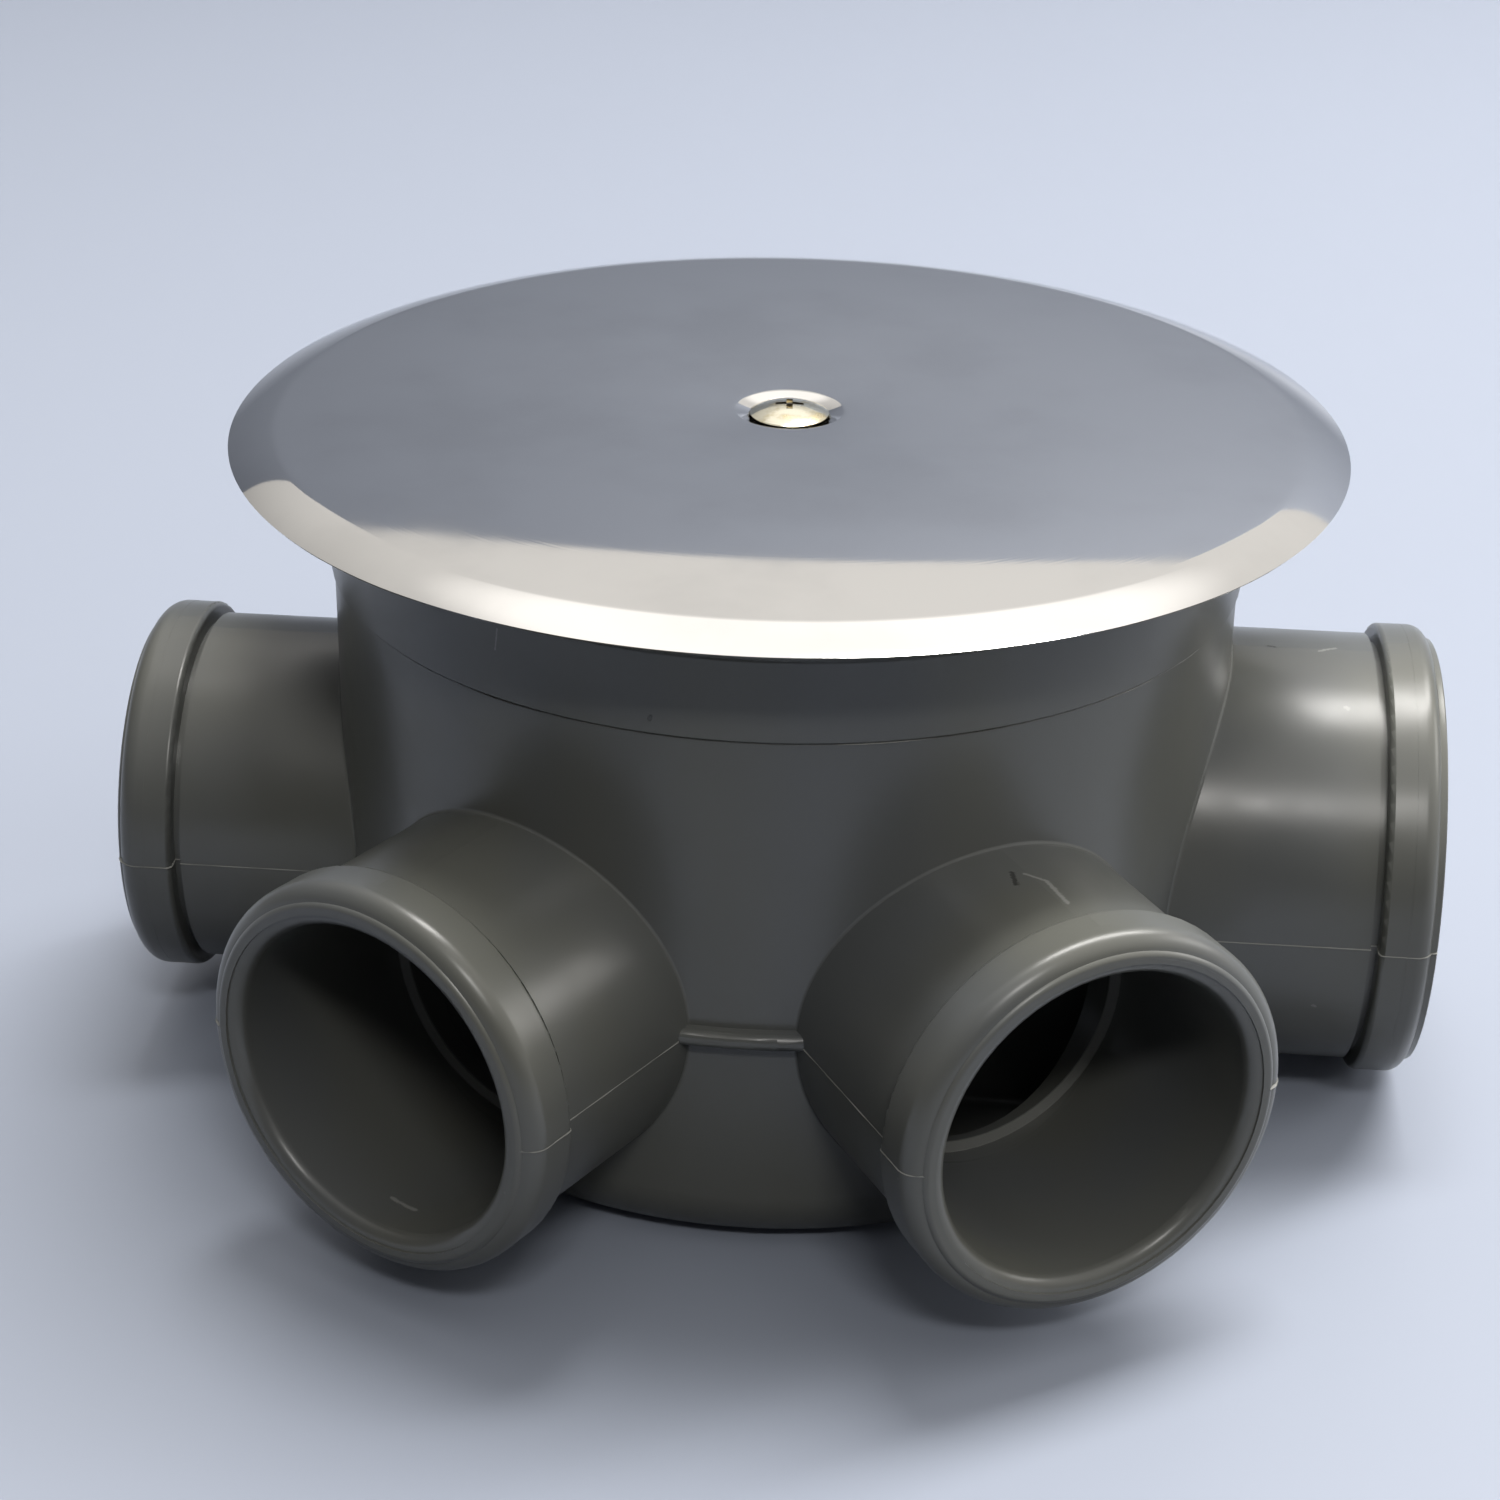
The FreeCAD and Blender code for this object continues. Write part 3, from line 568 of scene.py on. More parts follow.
def pvc_material(look):
    """Semi-gloss grey plastic with clouds, rubbed rims, painted shade in the grooves, a painted highlight on
    each pipe stop and a few marks.
    """
    material, tree, shader = new_material("moulded_pvc")
    place = own_place(tree)
    skin = placed_group(tree, "Moulded skin", Place=place)
    socket = placed_group(tree, "Socket place", Place=place)
    specks = placed_group(tree, "Specks", Place=place)["Mask"]
    nicks = all_marks(tree, place, NICKS)
    scuffs = all_marks(tree, place, SCUFFS)

    rim = ramp(tree, socket["Along"], *RUBBED_LIP, 0.0, LIP_SHARE)
    outside = ramp(tree, socket["From Axis"], *OUTSIDE_PIPE)
    # Painted shade: the groove behind each bead is darkened, as shade falls in it
    groove = calc(tree, "MULTIPLY", band(tree, socket["Along"], *SHADED_GROOVE, 0.2), outside)
    inside = ramp(tree, socket["From Axis"], *IN_BORE)
    root = band(tree, socket["From Middle"], *SOCKET_ROOT, 0.04)
    root = calc(tree, "MULTIPLY", root, ramp(tree, socket["From Axis"], *NEAR_PIPE))
    # Painted highlight: the face of the pipe stop in each bore is painted paler, for light that would reach
    # it through the mouth
    lit_stop = calc(tree, "MULTIPLY", band(tree, socket["Along"], *PAINTED_LIGHT_STOP, 0.1), inside)
    painted_shade = calc(tree, "MULTIPLY", groove, GROOVE_SHADE_SHARE)
    nicks_and_painted_shade = calc(tree, "MAXIMUM", painted_shade, calc(tree, "MULTIPLY", nicks, NICK_SHARE))
    dust = calc(tree, "MULTIPLY", specks, SPECK_SHARE)
    wear_and_lit_stop = calc(tree, "MAXIMUM", dust, calc(tree, "MULTIPLY", scuffs, SCUFF_SHARE))
    wear_and_lit_stop = calc(tree, "MAXIMUM", wear_and_lit_stop, rim)
    wear_and_lit_stop = calc(tree, "MAXIMUM", wear_and_lit_stop, calc(tree, "MULTIPLY", lit_stop, STOP_HIGHLIGHT_SHARE))

    colour = mixed(tree, skin["Cloud"], look.tone, look.cool_tone)
    colour = mixed(tree, wear_and_lit_stop, colour, look.wear_and_highlight_tone)
    feed(tree, shader.inputs["Base Color"], mixed(tree, nicks_and_painted_shade, colour, look.nick_and_shade_tone))
    gloss = ramp(tree, skin["Gloss"], *GLOSS_SPAN, look.roughness - GLOSSIER, look.roughness + DULLER)
    dull_root = calc(tree, "MULTIPLY", root, ROOT_DULLING)
    feed(tree, shader.inputs["Roughness"], calc(tree, "ADD", gloss, dull_root))
    shader.inputs["IOR"].default_value = PVC_IOR
    raise_skin(tree, shader, calc(tree, "SUBTRACT", skin["Height"], nicks), look.grain_height)
    return material


def flash_material(look):
    """The same plastic on the flash, painted paler in patches: a painted highlight where the flash stands in
    the light.
    """
    material, tree, shader = new_material("pvc_flash")
    place = own_place(tree)
    skin = placed_group(tree, "Moulded skin", Place=place, Grain=5000.0)
    # Painted highlight: the flash is painted paler in patches, as it catches the light
    flash_highlight = ramp(tree, skin["Gloss"], *GLOSS_SPAN, 0.25, 0.85)
    feed(tree, shader.inputs["Base Color"], mixed(tree, flash_highlight, look.tone, look.wear_and_highlight_tone))
    feed(tree, shader.inputs["Roughness"], ramp(tree, skin["Gloss"], *GLOSS_SPAN, 0.4, 0.55))
    raise_skin(tree, shader, skin["Height"], look.grain_height)
    return material


# Heights of the fine surface of the other finishes, in metres
POLISH_HEIGHT = 0.0000006
PLATING_HEIGHT = 0.000004
RECESS_HEIGHT = 0.00001
BRASS_HEIGHT = 0.00001
RUBBER_HEIGHT = 0.0001


def cover_material(look):
    """Mirror polish with faint rings and smears."""
    material, tree, shader = new_material("polished_cover")
    place = own_place(tree)
    rings = placed_group(tree, "Turned rings", Place=place, Rings=2600.0, Smears=38.0)
    dull = [0.9 * channel for channel in look.cover_tone[:3]] + [1]
    feed(tree, shader.inputs["Base Color"], mixed(tree, rings["Smear"], look.cover_tone, dull))
    shader.inputs["Metallic"].default_value = 1.0
    feed(tree, shader.inputs["Roughness"], ramp(tree, rings["Smear"], 0.0, 1.0, 0.035, 0.075))
    raise_skin(tree, shader, rings["Height"], POLISH_HEIGHT)
    return material


def screw_material(look):
    """Bright plating that has worn to the brass in places."""
    material, tree, shader = new_material("plated_screw")
    place = own_place(tree)
    rings = placed_group(tree, "Turned rings", Place=place, Rings=5200.0, Smears=420.0)
    worn = calc(tree, "MULTIPLY", rings["Smear"], 0.7)
    feed(tree, shader.inputs["Base Color"], mixed(tree, worn, look.screw_tone, look.tarnish_tone))
    shader.inputs["Metallic"].default_value = 1.0
    feed(tree, shader.inputs["Roughness"], ramp(tree, rings["Smear"], 0.0, 1.0, 0.12, 0.28))
    raise_skin(tree, shader, rings["Height"], PLATING_HEIGHT)
    return material


def recess_material(look):
    """The screw's recess, where the plating is dull; its near-black colour, mixed with tarnish, is painted
    shade.
    """
    material, tree, shader = new_material("screw_recess")
    place = own_place(tree)
    rings = placed_group(tree, "Turned rings", Place=place, Rings=5200.0, Smears=900.0)
    # Painted shade: near-black colour inside the recess
    painted_shade = (0.03, 0.026, 0.02, 1)
    feed(tree, shader.inputs["Base Color"], mixed(tree, rings["Smear"], painted_shade, look.tarnish_tone))
    feed(tree, shader.inputs["Metallic"], ramp(tree, rings["Smear"], 0.0, 1.0, 0.2, 0.7))
    shader.inputs["Roughness"].default_value = 0.6
    raise_skin(tree, shader, rings["Height"], RECESS_HEIGHT)
    return material


def brass_material(look):
    """Turned brass."""
    material, tree, shader = new_material("turned_brass")
    place = own_place(tree)
    rings = placed_group(tree, "Turned rings", Place=place, Rings=6500.0, Smears=300.0)
    feed(tree, shader.inputs["Base Color"], mixed(tree, rings["Smear"], look.brass_tone, look.tarnish_tone))
    shader.inputs["Metallic"].default_value = 1.0
    feed(tree, shader.inputs["Roughness"], ramp(tree, rings["Height"], 0.2, 0.8, 0.2, 0.36))
    raise_skin(tree, shader, rings["Height"], BRASS_HEIGHT)
    return material


def rubber_material():
    """Black rubber with a dusty bloom."""
    material, tree, shader = new_material("black_rubber")
    place = own_place(tree)
    skin = placed_group(tree, "Moulded skin", Place=place, Grain=3200.0)
    specks = placed_group(tree, "Specks", Place=place, Scale=420.0, Size=0.1, Share=0.3)["Mask"]
    black = (0.014, 0.014, 0.015, 1)
    bloom = (0.042, 0.042, 0.044, 1)
    dust = (0.12, 0.12, 0.12, 1)
    colour = mixed(tree, skin["Cloud"], black, bloom)
    dusty = calc(tree, "MULTIPLY", specks, 0.4)
    feed(tree, shader.inputs["Base Color"], mixed(tree, dusty, colour, dust))
    feed(tree, shader.inputs["Roughness"], ramp(tree, skin["Gloss"], *GLOSS_SPAN, 0.55, 0.75))
    raise_skin(tree, shader, skin["Height"], RUBBER_HEIGHT)
    return material


def floor_material(look):
    """A plain pale sheet that throws less light back at the part than it shows to the eye."""
    material, tree, shader = new_material("studio_floor")
    shade = noise(tree, own_place(tree), 3.0, 2.0)
    deep = [0.97 * channel for channel in look.floor_tone[:3]] + [1]
    dim = [look.bounce * channel for channel in look.floor_tone[:3]] + [1]
    rays = put(tree, "ShaderNodeLightPath").outputs
    mirrored = calc(tree, "MAXIMUM", rays["Is Glossy Ray"], rays["Is Transmission Ray"])
    seen = calc(tree, "MAXIMUM", rays["Is Camera Ray"], mirrored)
    colour = mixed(tree, shade, look.floor_tone, deep)
    feed(tree, shader.inputs["Base Color"], mixed(tree, seen, dim, colour))
    shader.inputs["Roughness"].default_value = 0.5
    return material


def finish_node(name, material):
    """Gives a node of the frame this material."""
    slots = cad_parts[name].data.materials
    slots.clear()
    slots.append(material)


# Pieces and their operators


class FLOORTRAP_OT_effects(bpy.types.Operator):
    """Builds the node groups that the materials share"""

    bl_idname = "floor_trap.effects"
    bl_label = "Shared effects"

    def execute(self, context):
        make_socket_place_group()
        make_grain_group()
        make_scratch_group()
        make_speck_group()
        make_turned_group()
        return {"FINISHED"}


class FLOORTRAP_OT_body(bpy.types.Operator):
    """Finishes the grey body and the screw plug"""

    bl_idname = "floor_trap.body"
    bl_label = "Body and plug"

    def execute(self, context):
        material = pvc_material(context.scene.floor_trap_pvc)
        finish_node("trap_body", material)
        finish_node("access_plug", material)
        return {"FINISHED"}


# The front of a socket's bead, in millimetres: the foot of its nose and the end of the ledge before the lip,
# each along the axis and below the bead's top, how far below that the lip ends, and the lip's round
NOSE_START = 83.3
OUTLET_NOSE = ((85.3, 1.45), (85.9, 1.7), 2.05, level_arc_radius(0.3, 0.35))
INLET_NOSE = ((85.74, 1.92), (85.77, 1.91), 2.48, 0.93)


def rim_nose(pipe):
    """The round front of a socket's bead, from its flat to its lip: along and away from the axis."""
    bead = pipe + BEAD_HEIGHT + RIM_PROUD
    foot, ledge, lip_drop, lip_round = OUTLET_NOSE if pipe == OUTLET_PIPE else INLET_NOSE
    nose_end = (foot[0], bead - foot[1])
    nose_round = level_arc_radius(foot[0] - NOSE_START, bead - nose_end[1])
    nose = arc((NOSE_START, bead), nose_end, nose_round, "up", 14)
    return nose + arc((ledge[0], bead - ledge[1]), (MOUTH, bead - lip_drop), lip_round, "up", 8)


def within_box(point):
    """The point, held inside the box of the CAD model. Millimetres."""
    return Vector([min(max(value, low / MM), high / MM) for value, low, high in zip(point, *CAD_BOX)])


def socket_side(pipe):
    """A socket's side at the parting plane, from its root to its lip: along and away from its axis."""
    bead = pipe + BEAD_HEIGHT
    root = math.sqrt(RIDGE_RADIUS**2 - pipe**2)
    heel_end = GROOVE_END + BEAD_HEEL
    run_steps, land_steps = 40, 5
    run = [(root + (GROOVE_START - root) * k / run_steps, pipe) for k in range(run_steps + 1)]
    groove = [(GROOVE_START, pipe - GROOVE_DEPTH), (GROOVE_END, pipe - GROOVE_DEPTH)]
    heel = arc((GROOVE_END, bead - BEAD_HEEL), (heel_end, bead), BEAD_HEEL, "up", 4)
    land = [(heel_end + (BEAD_LAND_END - heel_end) * k / land_steps, bead) for k in range(1, land_steps + 1)]
    return run + groove + heel + land + rim_nose(pipe)


# A rim in millimetres: its start and the end of its flat along the axis, and the points of its back, which
# lies in the plastic, each along the axis and below the bead's top
RIM_START = 82.2
RIM_FLAT = 82.7
RIM_BACK = ((MOUTH, 2.68), (MOUTH - 0.3, 2.8), (RIM_START, 0.4))
RIM_STEPS = 160


class FLOORTRAP_OT_rims(bpy.types.Operator):
    """Rounds the front of each socket's bead"""

    bl_idname = "floor_trap.rims"
    bl_label = "Socket rims"

    def execute(self, context):
        material = bpy.data.materials["moulded_pvc"]
        for angle in SOCKET_ANGLES:
            self.add_rim(angle, material)
        return {"FINISHED"}

    def add_rim(self, angle, material):
        pipe = INLET_PIPE if angle else OUTLET_PIPE
        bead = pipe + BEAD_HEIGHT
        shown = [(RIM_START, bead + RIM_PROUD), (RIM_FLAT, bead + RIM_PROUD)] + rim_nose(pipe)
        sunk = [(along, bead - drop) for along, drop in RIM_BACK]
        turn = Matrix.Rotation(math.radians(angle), 3, "Z")
        rings = []
        for k in range(RIM_STEPS):
            lean = 2 * math.pi * k / RIM_STEPS
            ring = []
            for along, away in shown + sunk:
                point = (along, away * math.cos(lean), PARTING_HEIGHT + away * math.sin(lean))
                ring.append(within_box(turn @ Vector(point)))
            rings.append(ring)
        rim = mesh_piece(f"socket_rim_{angle}", *joined_rings(rings), material)
        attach(rim, "trap")


# The nib of flash at a socket's lip, in millimetres: its place along the axis and its spread
NIB_PLACE = 85.7
NIB_SPREAD = 0.35


def flash_height(along, sizes, phase):
    """How far the flash stands out at a place along the socket: a slow wave, and a nib at the lip."""
    wave = 0.75 + 0.25 * math.sin(along * 0.9 + phase)
    nib = math.exp(-(((along - NIB_PLACE) / NIB_SPREAD) ** 2))
    nib_luck = 0.6 + 0.4 * math.sin(phase)
    return (sizes.height * wave + sizes.nib * nib * nib_luck) / MM


def flash_strip(path, place, sizes, phase):
    """Rings of a thin ridge along a path, each a triangle. place puts a point of the path in space."""
    half = sizes.width / MM / 2
    rings = []
    for k, (along, away) in enumerate(path):
        before, after = path[max(k - 1, 0)], path[min(k + 1, len(path) - 1)]
        way = (after[0] - before[0], after[1] - before[1])
        length = math.hypot(*way)
        out = (-way[1] / length, way[0] / length)
        height = flash_height(along, sizes, phase)
        sunk = (along - FLASH_SINK * out[0], away - FLASH_SINK * out[1])
        crest = (along + height * out[0], away + height * out[1])
        rings.append([place(*sunk, -half), place(*crest, 0.0), place(*sunk, half)])
    return rings


class FLOORTRAP_OT_flash(bpy.types.Operator):
    """Adds the thin flash along the sockets' sides and on the collar"""

    bl_idname = "floor_trap.flash"
    bl_label = "Mould flash"

    def execute(self, context):
        material = flash_material(context.scene.floor_trap_pvc)
        sizes = context.scene.floor_trap_flash
        chance = random.Random(7)
        for angle in SOCKET_ANGLES:
            self.add_socket_flash(angle, sizes, chance, material)
        self.add_collar_flash(sizes, chance, material)
        return {"FINISHED"}

    def add_socket_flash(self, angle, sizes, chance, material):
        pipe = INLET_PIPE if angle else OUTLET_PIPE
        turn = Matrix.Rotation(math.radians(angle), 3, "Z")
        points, faces = [], []
        for side in (1, -1):

            def place(along, away, up, side=side):
                return within_box(turn @ Vector((along, side * away, PARTING_HEIGHT + up)))

            phase = chance.uniform(0, 2 * math.pi)
            strip = capped_rings(flash_strip(socket_side(pipe), place, sizes, phase))
            faces += [tuple(len(points) + k for k in face) for face in strip[1]]
            points += strip[0]
        piece = mesh_piece(f"socket_flash_{angle}", points, faces, material)
        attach(piece, "trap")

    def add_collar_flash(self, sizes, chance, material):
        steps = 720
        crest_drop = 0.05
        half = sizes.width / MM / 2
        rings = []
        for k in range(steps):
            angle = 2 * math.pi * k / steps
            # The flash comes and goes round the collar
            patch = max(math.sin(9 * angle + 1.0) + 0.8 * math.sin(23 * angle), 0.15)
            stand = chance.uniform(0.3, 1.0) * patch * sizes.height / MM
            rings.append([
                around(WALL_RADIUS - FLASH_SINK, COLLAR_LINE - half, angle),
                around(WALL_RADIUS + stand, COLLAR_LINE - crest_drop, angle),
                around(WALL_RADIUS - FLASH_SINK, COLLAR_LINE + half, angle),
            ])
        piece = mesh_piece("collar_flash", *joined_rings(rings), material)
        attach(piece, "trap")


# Ridges of the plug's thread: steps in a turn, height of the start in millimetres, turns and first angle
RIDGE_STEPS = 120
COLLAR_RIDGE = (74.4, 1.45, 0.0)
PLUG_RIDGE = (75.2, 1.4, math.pi * 1.4)


def ridge_helix(radius, depth, pitch, start, turns, phase):
    """Rings of a thread's ridge on a cylinder, tapered at both ends. A negative depth points inwards."""
    steps = int(RIDGE_STEPS * turns)
    fade = 12
    # Half the ridge's width at its foot and at its crest, and how far it reaches into the plastic
    foot, crest, sunk = 0.85, 0.4, math.copysign(0.1, depth)
    rings = []
    for k in range(steps + 1):
        angle = 2 * math.pi * turns * k / steps + phase
        middle = start + pitch * turns * k / steps
        share = min(k / fade, (steps - k) / fade, 1.0)
        top = radius + depth * max(share, 0.02)
        rings.append([
            around(radius - sunk, middle - foot, angle),
            around(top, middle - crest, angle),
            around(top, middle + crest, angle),
            around(radius - sunk, middle + foot, angle),
        ])
    return capped_rings(rings)


class FLOORTRAP_OT_threads(bpy.types.Operator):
    """Adds the meshing threads of collar and plug"""

    bl_idname = "floor_trap.threads"
    bl_label = "Threads of collar and plug"

    def execute(self, context):
        sizes = context.scene.floor_trap_threads
        material = bpy.data.materials["moulded_pvc"]
        pitch = sizes.plug_pitch / MM
        depth = sizes.plug_depth / MM
        collar_ridge = ridge_helix(COLLAR_BORE, -depth, pitch, *COLLAR_RIDGE)
        plug_ridge = ridge_helix(PLUG_SKIRT, depth, pitch, *PLUG_RIDGE)
        collar = mesh_piece("collar_thread", *collar_ridge, material)
        plug = mesh_piece("plug_thread", *plug_ridge, material)
        for piece, body in ((collar, "trap"), (plug, "plug")):
            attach(piece, body)
        return {"FINISHED"}


# The cover in millimetres: radii of its edge, of the start of its rounded edge, of its highest ring and of
# its dimple below and on top, and the round of its edge
COVER_RADIUS = 71.7
EDGE_START = 66.0
CROWN = 33.0
DIMPLE_UNDER = 6.95
DIMPLE_TOP = 7.2
EDGE_ROUND = 26.0

# Small dents in the cover in millimetres: middle and size
COVER_DENTS = ((-42.0, -56.0, 5.0), (39.7, -57.0, 4.0))


def cover_outline():
    """The cover's closed half section, radius and height: along the underside, then back on top."""
    inner = level_arc_radius(CROWN - DIMPLE_UNDER, 0.55)
    outer = level_arc_radius(EDGE_START - CROWN, 1.05)
    under = [(2.75, 86.2), (3.55, 86.2), (6.1, 88.05), (DIMPLE_UNDER, 89.15)]
    under += arc((DIMPLE_UNDER, 89.15), (CROWN, 89.7), inner, "up", 24)[1:]
    under += arc((CROWN, 89.7), (EDGE_START, 88.65), outer, "up", 30)[1:]
    under += arc((EDGE_START, 88.65), (70.7, 87.35), EDGE_ROUND, "up", 8)[1:]
    edge = [(71.25, 87.5), (71.55, 87.67)]
    top = arc((COVER_RADIUS, 87.9), (EDGE_START, 89.65), EDGE_ROUND, "up", 16)
    top += arc((EDGE_START, 89.65), (CROWN, 90.7), outer, "up", 40)[1:]
    top += arc((CROWN, 90.7), (DIMPLE_TOP, 90.162), inner, "up", 32)[1:]
    dimple = [(7.05, 90.14), (6.92, 90.09), (6.8, 90.04), (5.1, 89.55), (2.75, 87.2)]
    return under + edge + top + dimple


def cover_waves(x, y, look):
    """How far the pressed sheet is off its true height at a point, in millimetres."""
    angle = math.atan2(y, x)
    out = (math.hypot(x, y) / COVER_RADIUS) ** 2
    waves = math.sin(3 * angle + 0.7) + 0.7 * math.sin(5 * angle + 2.1) + 0.4 * math.sin(8 * angle + 4)
    lift = look.ripple / MM * waves * out
    for dent_x, dent_y, size in COVER_DENTS:
        lift -= look.dent / MM * math.exp(-((x - dent_x) ** 2 + (y - dent_y) ** 2) / size**2)
    return lift


class FLOORTRAP_OT_cover(bpy.types.Operator):
    """Replaces the cover by a finer one with slight waves"""

    bl_idname = "floor_trap.cover"
    bl_label = "Polished cover"

    def execute(self, context):
        look = context.scene.floor_trap_metal
        turns = 240
        section = cover_outline()
        rings = []
        for k in range(turns):
            angle = 2 * math.pi * k / turns
            ring = []
            for radius, height in section:
                x, y, z = around(radius, height, angle)
                ring.append((x, y, z + cover_waves(x, y, look)))
            rings.append(ring)
        cover = mesh_piece("cover_sheet", *joined_rings(rings), cover_material(look))
        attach(cover, "cover")
        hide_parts("cover_plate")
        return {"FINISHED"}


def carve(piece, cutter):
    """Cuts one mesh object out of another and removes the cutter."""
    modifier = piece.modifiers.new("Carve", "BOOLEAN")
    modifier.operation = "DIFFERENCE"
    modifier.solver = "EXACT"
    modifier.material_mode = "TRANSFER"
    modifier.object = cutter
    shown = piece.evaluated_get(bpy.context.evaluated_depsgraph_get())
    mesh = bpy.data.meshes.new_from_object(shown)
    piece.modifiers.clear()
    piece.data = mesh
    bpy.data.objects.remove(cutter)


SCREW_STEPS = 64

# The screw in millimetres: radius of its shank, heights of its neck and tip, length and depth of its point's
# bevel, length over which the thread runs out, and radius and rise of its raised head
SHANK = 2.44
NECK = 86.85
TIP = 78.25
POINT_LENGTH = 0.6
POINT_DEPTH = 0.55
RUN_OUT = 0.5
HEAD_RADIUS = 5.1
HEAD_RISE = 1.25


def screw_rings(sizes):
    """Rings of the screw from its tip to the top of its raised head. The shank carries the thread."""
    pitch = sizes.screw_pitch / MM
    depth = sizes.screw_depth / MM
    count = int((NECK - TIP) / pitch * 10)
    rings = []
    for k in range(count + 1):
        height = TIP + (NECK - TIP) * k / count
        fade = min((height - TIP) / POINT_LENGTH, 1.0, (NECK - height) / RUN_OUT)
        bevel = POINT_DEPTH * max(1 - (height - TIP) / POINT_LENGTH, 0.0)
        ring = []
        for step in range(SCREW_STEPS):
            turn = step / SCREW_STEPS
            saw = abs(((height / pitch - turn) % 1.0) * 2 - 1)
            radius = SHANK - bevel - depth * (saw * fade + (1 - fade) * 0.4)
            ring.append(around(radius, height, 2 * math.pi * turn))
        rings.append(ring)
    crown_round = level_arc_radius(HEAD_RADIUS, HEAD_RISE)
    crown = arc((HEAD_RADIUS, 89.85), (0.12, 91.0993), crown_round, "up", 14)
    head = [(2.4, 87.0), (HEAD_RADIUS - 0.05, 89.62), (HEAD_RADIUS, 89.7)] + crown
    for radius, height in head:
        rings.append([around(radius, height, 2 * math.pi * k / SCREW_STEPS) for k in range(SCREW_STEPS)])
    return rings


# How far the cross is turned about the screw's axis, and the steps round its pit
CROSS_TURN = math.radians(94)
PIT_STEPS = 24


def cross_cutter(material):
    """The tool that leaves the cross recess."""
    end, side, top, bottom = 1.8, 0.4, 92.0, 90.75
    plan = [
        (end, -side), (end, side), (side, side), (side, end), (-side, end), (-side, side),
        (-end, side), (-end, -side), (-side, -side), (-side, -end), (side, -end), (side, -side),
    ]
    turn = Matrix.Rotation(CROSS_TURN, 3, "Z")
    rings = [[turn @ Vector((x, y, z)) for x, y in plan] for z in (bottom, top)]
    return mesh_piece("cross_cutter", *capped_rings(rings), material)


def pit_cutter(material):
    """The tool that leaves the pit in the middle of the cross."""
    section = [(0.325, 89.4), (0.65, 91.1), (0.65, 92.0)]
    angles = [2 * math.pi * k / PIT_STEPS for k in range(PIT_STEPS)]
    rings = [[around(radius, z, angle) for angle in angles] for radius, z in section]
    return mesh_piece("pit_cutter", *capped_rings(rings), material)


class FLOORTRAP_OT_screw(bpy.types.Operator):
    """Replaces the screw by a threaded one with a cross recess"""

    bl_idname = "floor_trap.screw"
    bl_label = "Cover screw"

    def execute(self, context):
        look = context.scene.floor_trap_metal
        rings = screw_rings(context.scene.floor_trap_threads)
        screw = mesh_piece("raised_screw", *capped_rings(rings), screw_material(look))
        recess = recess_material(look)
        carve(screw, cross_cutter(recess))
        carve(screw, pit_cutter(recess))
        screw.data.shade_smooth()
        screw.data.set_sharp_from_angle(angle=LIT_EDGE)
        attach(screw, "screw")
        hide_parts("cover_screw")
        return {"FINISHED"}


class FLOORTRAP_OT_inner_pieces(bpy.types.Operator):
    """Finishes the gasket and the brass insert"""

    bl_idname = "floor_trap.inner_pieces"
    bl_label = "Gasket and insert"

    def execute(self, context):
        finish_node("plug_gasket", rubber_material())
        finish_node("thread_insert", brass_material(context.scene.floor_trap_metal))
        return {"FINISHED"}


CAMERA_PLACE = Vector((24.95, -377.98, 229.3)) * MM
CAMERA_AIM = Vector((-4.25, -0.28, 41.0)) * MM
CAMERA_ROLL = math.radians(1.079)
CAMERA_LENS = 74.64


def add_camera():
    """A camera at the photograph's place, with its slight roll."""
    camera = bpy.data.cameras.new("photo_camera")
    camera.lens = CAMERA_LENS
    camera.clip_start = 0.01
    eye = bpy.data.objects.new("photo_camera", camera)
    ahead = (CAMERA_AIM - CAMERA_PLACE).normalized()
    level = ahead.cross(Vector((0, 0, 1))).normalized()
    upright = level.cross(ahead)
    right = level * math.cos(CAMERA_ROLL) + upright * math.sin(CAMERA_ROLL)
    up = upright * math.cos(CAMERA_ROLL) - level * math.sin(CAMERA_ROLL)
    eye.matrix_world = Matrix.Translation(CAMERA_PLACE) @ Matrix((right, up, -ahead)).transposed().to_4x4()
    bpy.context.scene.collection.objects.link(eye)
    bpy.context.scene.camera = eye


LAMP_AIM = Vector((0, 0, 0.05))
LAMP_TONE = (1.0, 0.98, 0.95)

# Lamps: name, middle, way of the long side, size in metres, and the setting that holds the power
LAMPS = (
    ("overhead_lamp", (0.50, 0.465, 1.3), (0.84, 0.54, 0), (1.5, 0.26), "overhead_power"),
    ("front_lamp", (0.22, -1.09, 1.2), (1, 0, 0), (0.4, 0.14), "front_power"),
    ("side_lamp", (1.41, 0.43, 0.67), (-0.43, 1.41, 0), (0.6, 0.5), "side_power"),
)


def add_lamp(name, middle, long_way, size, power):
    """A soft lamp that faces the part, with its long side along long_way."""
    lamp = bpy.data.lights.new(name, "AREA")
    lamp.shape = "RECTANGLE"
    lamp.size, lamp.size_y = size
    lamp.energy = power
    lamp.color = LAMP_TONE
    long_way = Vector(long_way).normalized()
    toward = LAMP_AIM - Vector(middle)
    back = -(toward - long_way * toward.dot(long_way)).normalized()
    turn = Matrix((long_way, back.cross(long_way), back)).transposed().to_4x4()
    holder = bpy.data.objects.new(name, lamp)
    holder.matrix_world = Matrix.Translation(middle) @ turn
    bpy.context.scene.collection.objects.link(holder)


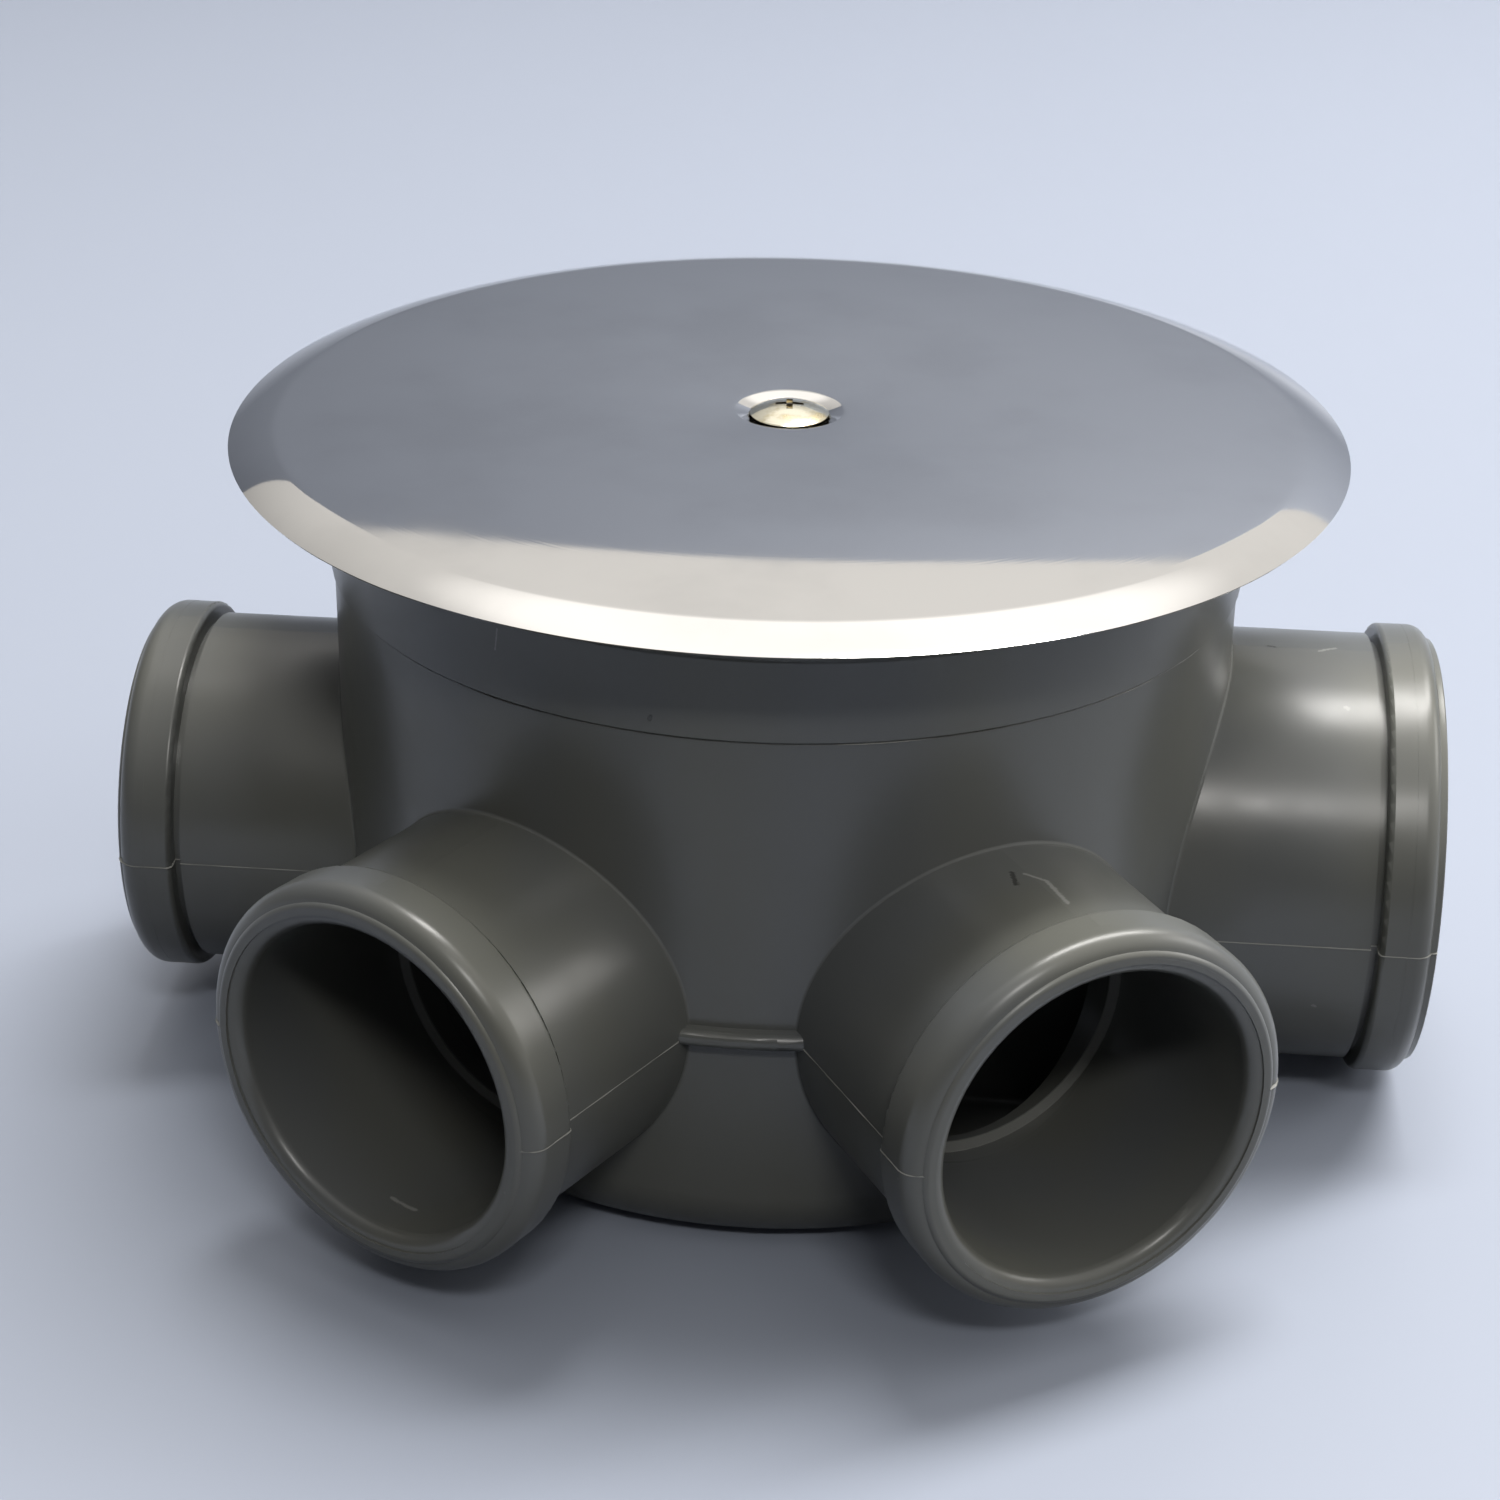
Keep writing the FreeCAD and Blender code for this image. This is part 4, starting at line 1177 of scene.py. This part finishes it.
def add_sweep(look):
    """The floor, which rises behind the part as a backdrop."""
    bend, back, wall_top, front, half_width = 260, 1000, 620, -1400, 1800
    section = [(front, 0.0), (back - bend, 0.0)]
    section += [
        (back - bend + bend * math.sin(a), bend - bend * math.cos(a))
        for a in (math.radians(6 * k) for k in range(1, 16))
    ]
    section.append((back, wall_top))
    points = [(side * half_width, y, z) for y, z in section for side in (-1, 1)]
    faces = [(2 * k, 2 * k + 1, 2 * k + 3, 2 * k + 2) for k in range(len(section) - 1)]
    sweep = mesh_piece("studio_sweep", points, faces, floor_material(look))


# Ways to the studio's light and to its brighter patch, the spans over which they come up, and the strength
CEILING_WAY = (0.45, 0.42, 0.79)
CEILING_SPAN = (0.0, 0.8)
PATCH_WAY = (0.03, 0.48, 0.877)
PATCH_SPAN = (0.88, 0.95)
PATCH_STRENGTH = 1.6


def add_world(look):
    """Soft light from all round: brightest from above and behind, dimmest from the front and the left."""
    world = bpy.data.worlds.new("studio")
    world.use_nodes = True
    bpy.context.scene.world = world
    tree = world.node_tree
    tree.nodes.clear()
    way = put(tree, "ShaderNodeTexCoord").outputs["Generated"]
    rise = vector_calc(tree, "DOT_PRODUCT", way, CEILING_WAY).outputs["Value"]
    light = mixed(tree, ramp(tree, rise, *CEILING_SPAN), look.room_tone, look.ceiling_tone)
    patch = vector_calc(tree, "DOT_PRODUCT", way, PATCH_WAY).outputs["Value"]
    strength = ramp(tree, patch, *PATCH_SPAN, 1.0, PATCH_STRENGTH)
    shader = put(tree, "ShaderNodeBackground", {"Color": light, "Strength": strength})
    put(tree, "ShaderNodeOutputWorld", {"Surface": shader.outputs[0]})


class FLOORTRAP_OT_stage(bpy.types.Operator):
    """Sets floor, backdrop, lamps and camera"""

    bl_idname = "floor_trap.stage"
    bl_label = "Studio"

    def execute(self, context):
        look = context.scene.floor_trap_stage
        add_sweep(look)
        add_world(look)
        for name, middle, long_way, size, power in LAMPS:
            add_lamp(name, middle, long_way, size, getattr(look, power))
        add_camera()
        context.scene.view_settings.view_transform = "Standard"
        return {"FINISHED"}


class FLOORTRAP_PT_sidebar(bpy.types.Panel):
    """Lists the floor trap's operators"""

    bl_idname = "FLOORTRAP_PT_sidebar"
    bl_label = "Floor trap"
    bl_space_type = "VIEW_3D"
    bl_region_type = "UI"
    bl_category = "Floor trap"

    def draw(self, context):
        for operator in OPERATORS:
            self.layout.operator(operator.bl_idname)


LOOKS = {
    "floor_trap_pvc": PvcLook,
    "floor_trap_metal": MetalLook,
    "floor_trap_flash": FlashSizes,
    "floor_trap_threads": ThreadSizes,
    "floor_trap_stage": StageLook,
}
OPERATORS = (
    FLOORTRAP_OT_effects,
    FLOORTRAP_OT_body,
    FLOORTRAP_OT_rims,
    FLOORTRAP_OT_flash,
    FLOORTRAP_OT_threads,
    FLOORTRAP_OT_cover,
    FLOORTRAP_OT_screw,
    FLOORTRAP_OT_inner_pieces,
    FLOORTRAP_OT_stage,
)


def register():
    for cls in (*LOOKS.values(), *OPERATORS, FLOORTRAP_PT_sidebar):
        bpy.utils.register_class(cls)
    for name, cls in LOOKS.items():
        setattr(bpy.types.Scene, name, bpy.props.PointerProperty(type=cls))


def unregister():
    for name in LOOKS:
        delattr(bpy.types.Scene, name)
    for cls in (FLOORTRAP_PT_sidebar, *reversed(OPERATORS), *reversed(LOOKS.values())):
        bpy.utils.unregister_class(cls)


def main():
    register()
    bpy.ops.floor_trap.effects()
    bpy.ops.floor_trap.body()
    bpy.ops.floor_trap.rims()
    bpy.ops.floor_trap.flash()
    bpy.ops.floor_trap.threads()
    bpy.ops.floor_trap.cover()
    bpy.ops.floor_trap.screw()
    bpy.ops.floor_trap.inner_pieces()
    bpy.ops.floor_trap.stage()


if __name__ == "__main__":
    main()
